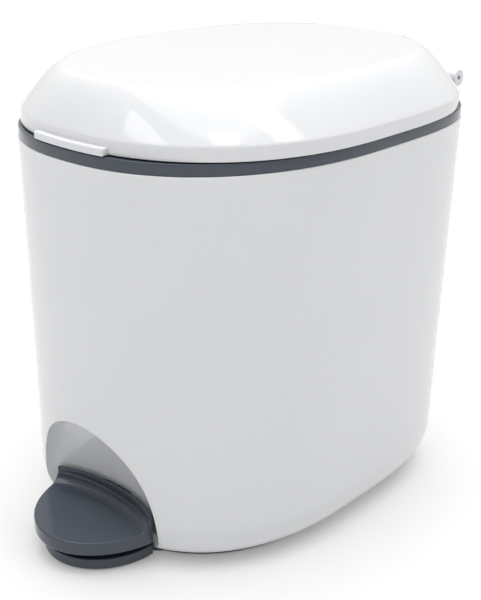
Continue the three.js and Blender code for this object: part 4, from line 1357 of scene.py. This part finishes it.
class TRASHCAN_OT_bucket(TrashCanOperator, bpy.types.Operator):
    """Lift-out bucket with its wire handle and grip"""

    bl_idname = "trash_can.bucket"
    bl_label = "Bucket"

    def execute(self, context):
        bucket = solid_loft(bucket_levels(), self.sizes.outline_steps)
        wire_z = middle("bucket_handle").z
        ear_y = (EAR_Y - BUCKET_EAR_HALF_LENGTH, EAR_Y + BUCKET_EAR_HALF_LENGTH)
        for side in (-1, 1):
            x = sorted((side * EAR_OUTER_X, side * (EAR_OUTER_X - BUCKET_EAR_THICKNESS)))
            ear = box_mesh(x, ear_y, (bucket_rim_top - CUT_OVER, bucket_high.z), 1.2 * MM)
            bore = moved(bar_mesh(WIRE_BORE, -FAR, FAR, "X", 32), shift(0, EAR_Y, wire_z))
            join(bucket, carved(ear, ("DIFFERENCE", bore)))
        finish_piece("bucket_liner", bucket, "bucket", "inner_bucket")
        wire = smooth_wire(handle_points(wire_z), WIRE_RADIUS)
        finish_piece("handle_wire", wire, "screw", "bucket_handle", sharp=60)
        finish_piece("handle_sleeve", grip_mesh(wire_z), "bracket", "handle_grip")
        return {"FINISHED"}


def handle_points(z):
    """The wire's way out of one ear, round the front of the rim and into the other."""
    side = [Vector((x * MM, y * MM, z)) for x, y in HANDLE_HALF]
    other = [Vector((-point.x, point.y, z)) for point in reversed(side)]
    return [*side, Vector((0, HANDLE_FRONT_Y, z)), *other]


def grip_mesh(z):
    """The handle's sleeve: ribbed for the fingers and bent to the wire."""
    half, ribs = 49 * MM, 13
    radius, groove = 5 * MM, 4.4 * MM
    end, lip = 8 * MM, 1.2 * MM
    profile = [
        (WIRE_BORE, -half), (0.8 * radius, -half), (radius, lip - half), (radius, end - half)
    ]
    pitch = 2 * (half - end) / ribs
    for i in range(ribs):
        start = end - half + i * pitch
        profile += [
            (groove, start + 0.3 * pitch), (groove, start + 0.45 * pitch),
            (radius, start + 0.75 * pitch), (radius, start + pitch),
        ]
    profile += [(radius, half - lip), (0.8 * radius, half), (WIRE_BORE, half)]
    bm = moved(lathe_mesh(profile, 36, closed=True), TURNS["X"])
    for vert in bm.verts:
        share = (vert.co.x / HANDLE_SIDE_X) ** 2
        vert.co.y += mix(HANDLE_FRONT_Y, HANDLE_SIDE_Y, share)
        vert.co.z += z
    return bm


class TRASHCAN_OT_linkage(TrashCanOperator, bpy.types.Operator):
    """Pressed lever, axle, push rod and their retaining clips"""

    bl_idname = "trash_can.linkage"
    bl_label = "Linkage"

    def execute(self, context):
        sizes = self.sizes
        lever = softened("pedal_lever", sizes.small_bevel)
        finish_piece("pressed_lever", lever, "strip", "pedal_lever", "pedal_group")
        pin_piece("pedal_axle", "axle_pin")
        low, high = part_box("push_rod")
        y, radius = middle("push_rod").y, WIRE_RADIUS
        x0, x1 = low.x, high.x - radius
        z0, z1 = low.z + radius, high.z - radius
        points = [(x0, y, z0), (x1, y, z0), (x1, y, z1), (x0, y, z1)]
        rod = bent_wire(points, radius, sizes.wire_bend)
        finish_piece("bent_rod", rod, "wire", "push_rod", "rod_group", sharp=60)
        for kind, body in (("axle", "bin_frame"), ("rod", "rod_group")):
            for i in (1, 2):
                node = f"{kind}_clip_{i}"
                low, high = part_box(node)
                place = middle(node)
                outer = (high.z - low.z) / 2
                ring = moved(
                    clip_mesh(outer - CLIP_WIDTH, outer, high.x - low.x),
                    TURNS["X"],
                    shift(low.x, place.y, place.z),
                )
                finish_piece(f"{kind}_ring_{i}", ring, "strip", node, body)
        return {"FINISHED"}


class TRASHCAN_OT_fasteners(TrashCanOperator, bpy.types.Operator):
    """Screws with cross recesses and threads"""

    bl_idname = "trash_can.fasteners"
    bl_label = "Fasteners"

    def execute(self, context):
        # Each kind's count, body, head height, the way it points and the face its head is on.
        groups = (
            ("base_screw", 4, "bin_frame", 1.6 * MM, "Z", 0),
            ("pedal_screw", 2, "pedal_group", 1.6 * MM, "Z", 0),
            ("bracket_screw", 2, "lid_group", 1.6 * MM, "Y", 0),
            ("housing_screw", 2, "bin_frame", 1.0 * MM, "-Y", 1),
        )
        for kind, count, body, head_height, way, face in groups:
            along = "XYZ".index(way[-1])
            for i in range(1, count + 1):
                node = f"{kind}_{i}"
                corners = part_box(node)
                size = corners[1] - corners[0]
                start = middle(node)
                start[along] = corners[face][along]
                screw = screw_mesh(size.x / 2, head_height, size[along])
                moved(screw, TURNS[way], Matrix.Translation(start))
                name = node.replace("screw", "fixing")
                finish_piece(name, screw, "screw", node, body)
        return {"FINISHED"}


OPERATORS = (
    TRASHCAN_OT_stage,
    TRASHCAN_OT_outer_body,
    TRASHCAN_OT_collar,
    TRASHCAN_OT_lid,
    TRASHCAN_OT_hinge,
    TRASHCAN_OT_pedal,
    TRASHCAN_OT_base,
    TRASHCAN_OT_bucket,
    TRASHCAN_OT_linkage,
    TRASHCAN_OT_fasteners,
)


class TRASHCAN_PT_panel(bpy.types.Panel):
    """Lists the sizes, the colours and the steps that build the trash can"""

    bl_label = "Trash Can"
    bl_idname = "TRASHCAN_PT_panel"
    bl_space_type = "VIEW_3D"
    bl_region_type = "UI"
    bl_category = "Trash Can"

    def draw(self, context):
        layout = self.layout
        for group in (context.scene.trash_can_sizes, context.scene.trash_can_colours):
            column = layout.column(align=True)
            for name in group.__annotations__:
                column.prop(group, name)
        column = layout.column(align=True)
        for operator in OPERATORS:
            column.operator(operator.bl_idname)


CLASSES = (TrashCanSizes, TrashCanColours, *OPERATORS, TRASHCAN_PT_panel)


def register():
    for cls in CLASSES:
        bpy.utils.register_class(cls)
    bpy.types.Scene.trash_can_sizes = PointerProperty(type=TrashCanSizes)
    bpy.types.Scene.trash_can_colours = PointerProperty(type=TrashCanColours)


def unregister():
    del bpy.types.Scene.trash_can_colours
    del bpy.types.Scene.trash_can_sizes
    for cls in reversed(CLASSES):
        bpy.utils.unregister_class(cls)


def main():
    register()
    scene = bpy.context.scene
    scene.view_settings.view_transform = "Standard"
    make_finishes(scene.trash_can_colours)
    for operator in OPERATORS:
        group, step = operator.bl_idname.split(".")
        getattr(getattr(bpy.ops, group), step)()


if __name__ == "__main__":
    main()
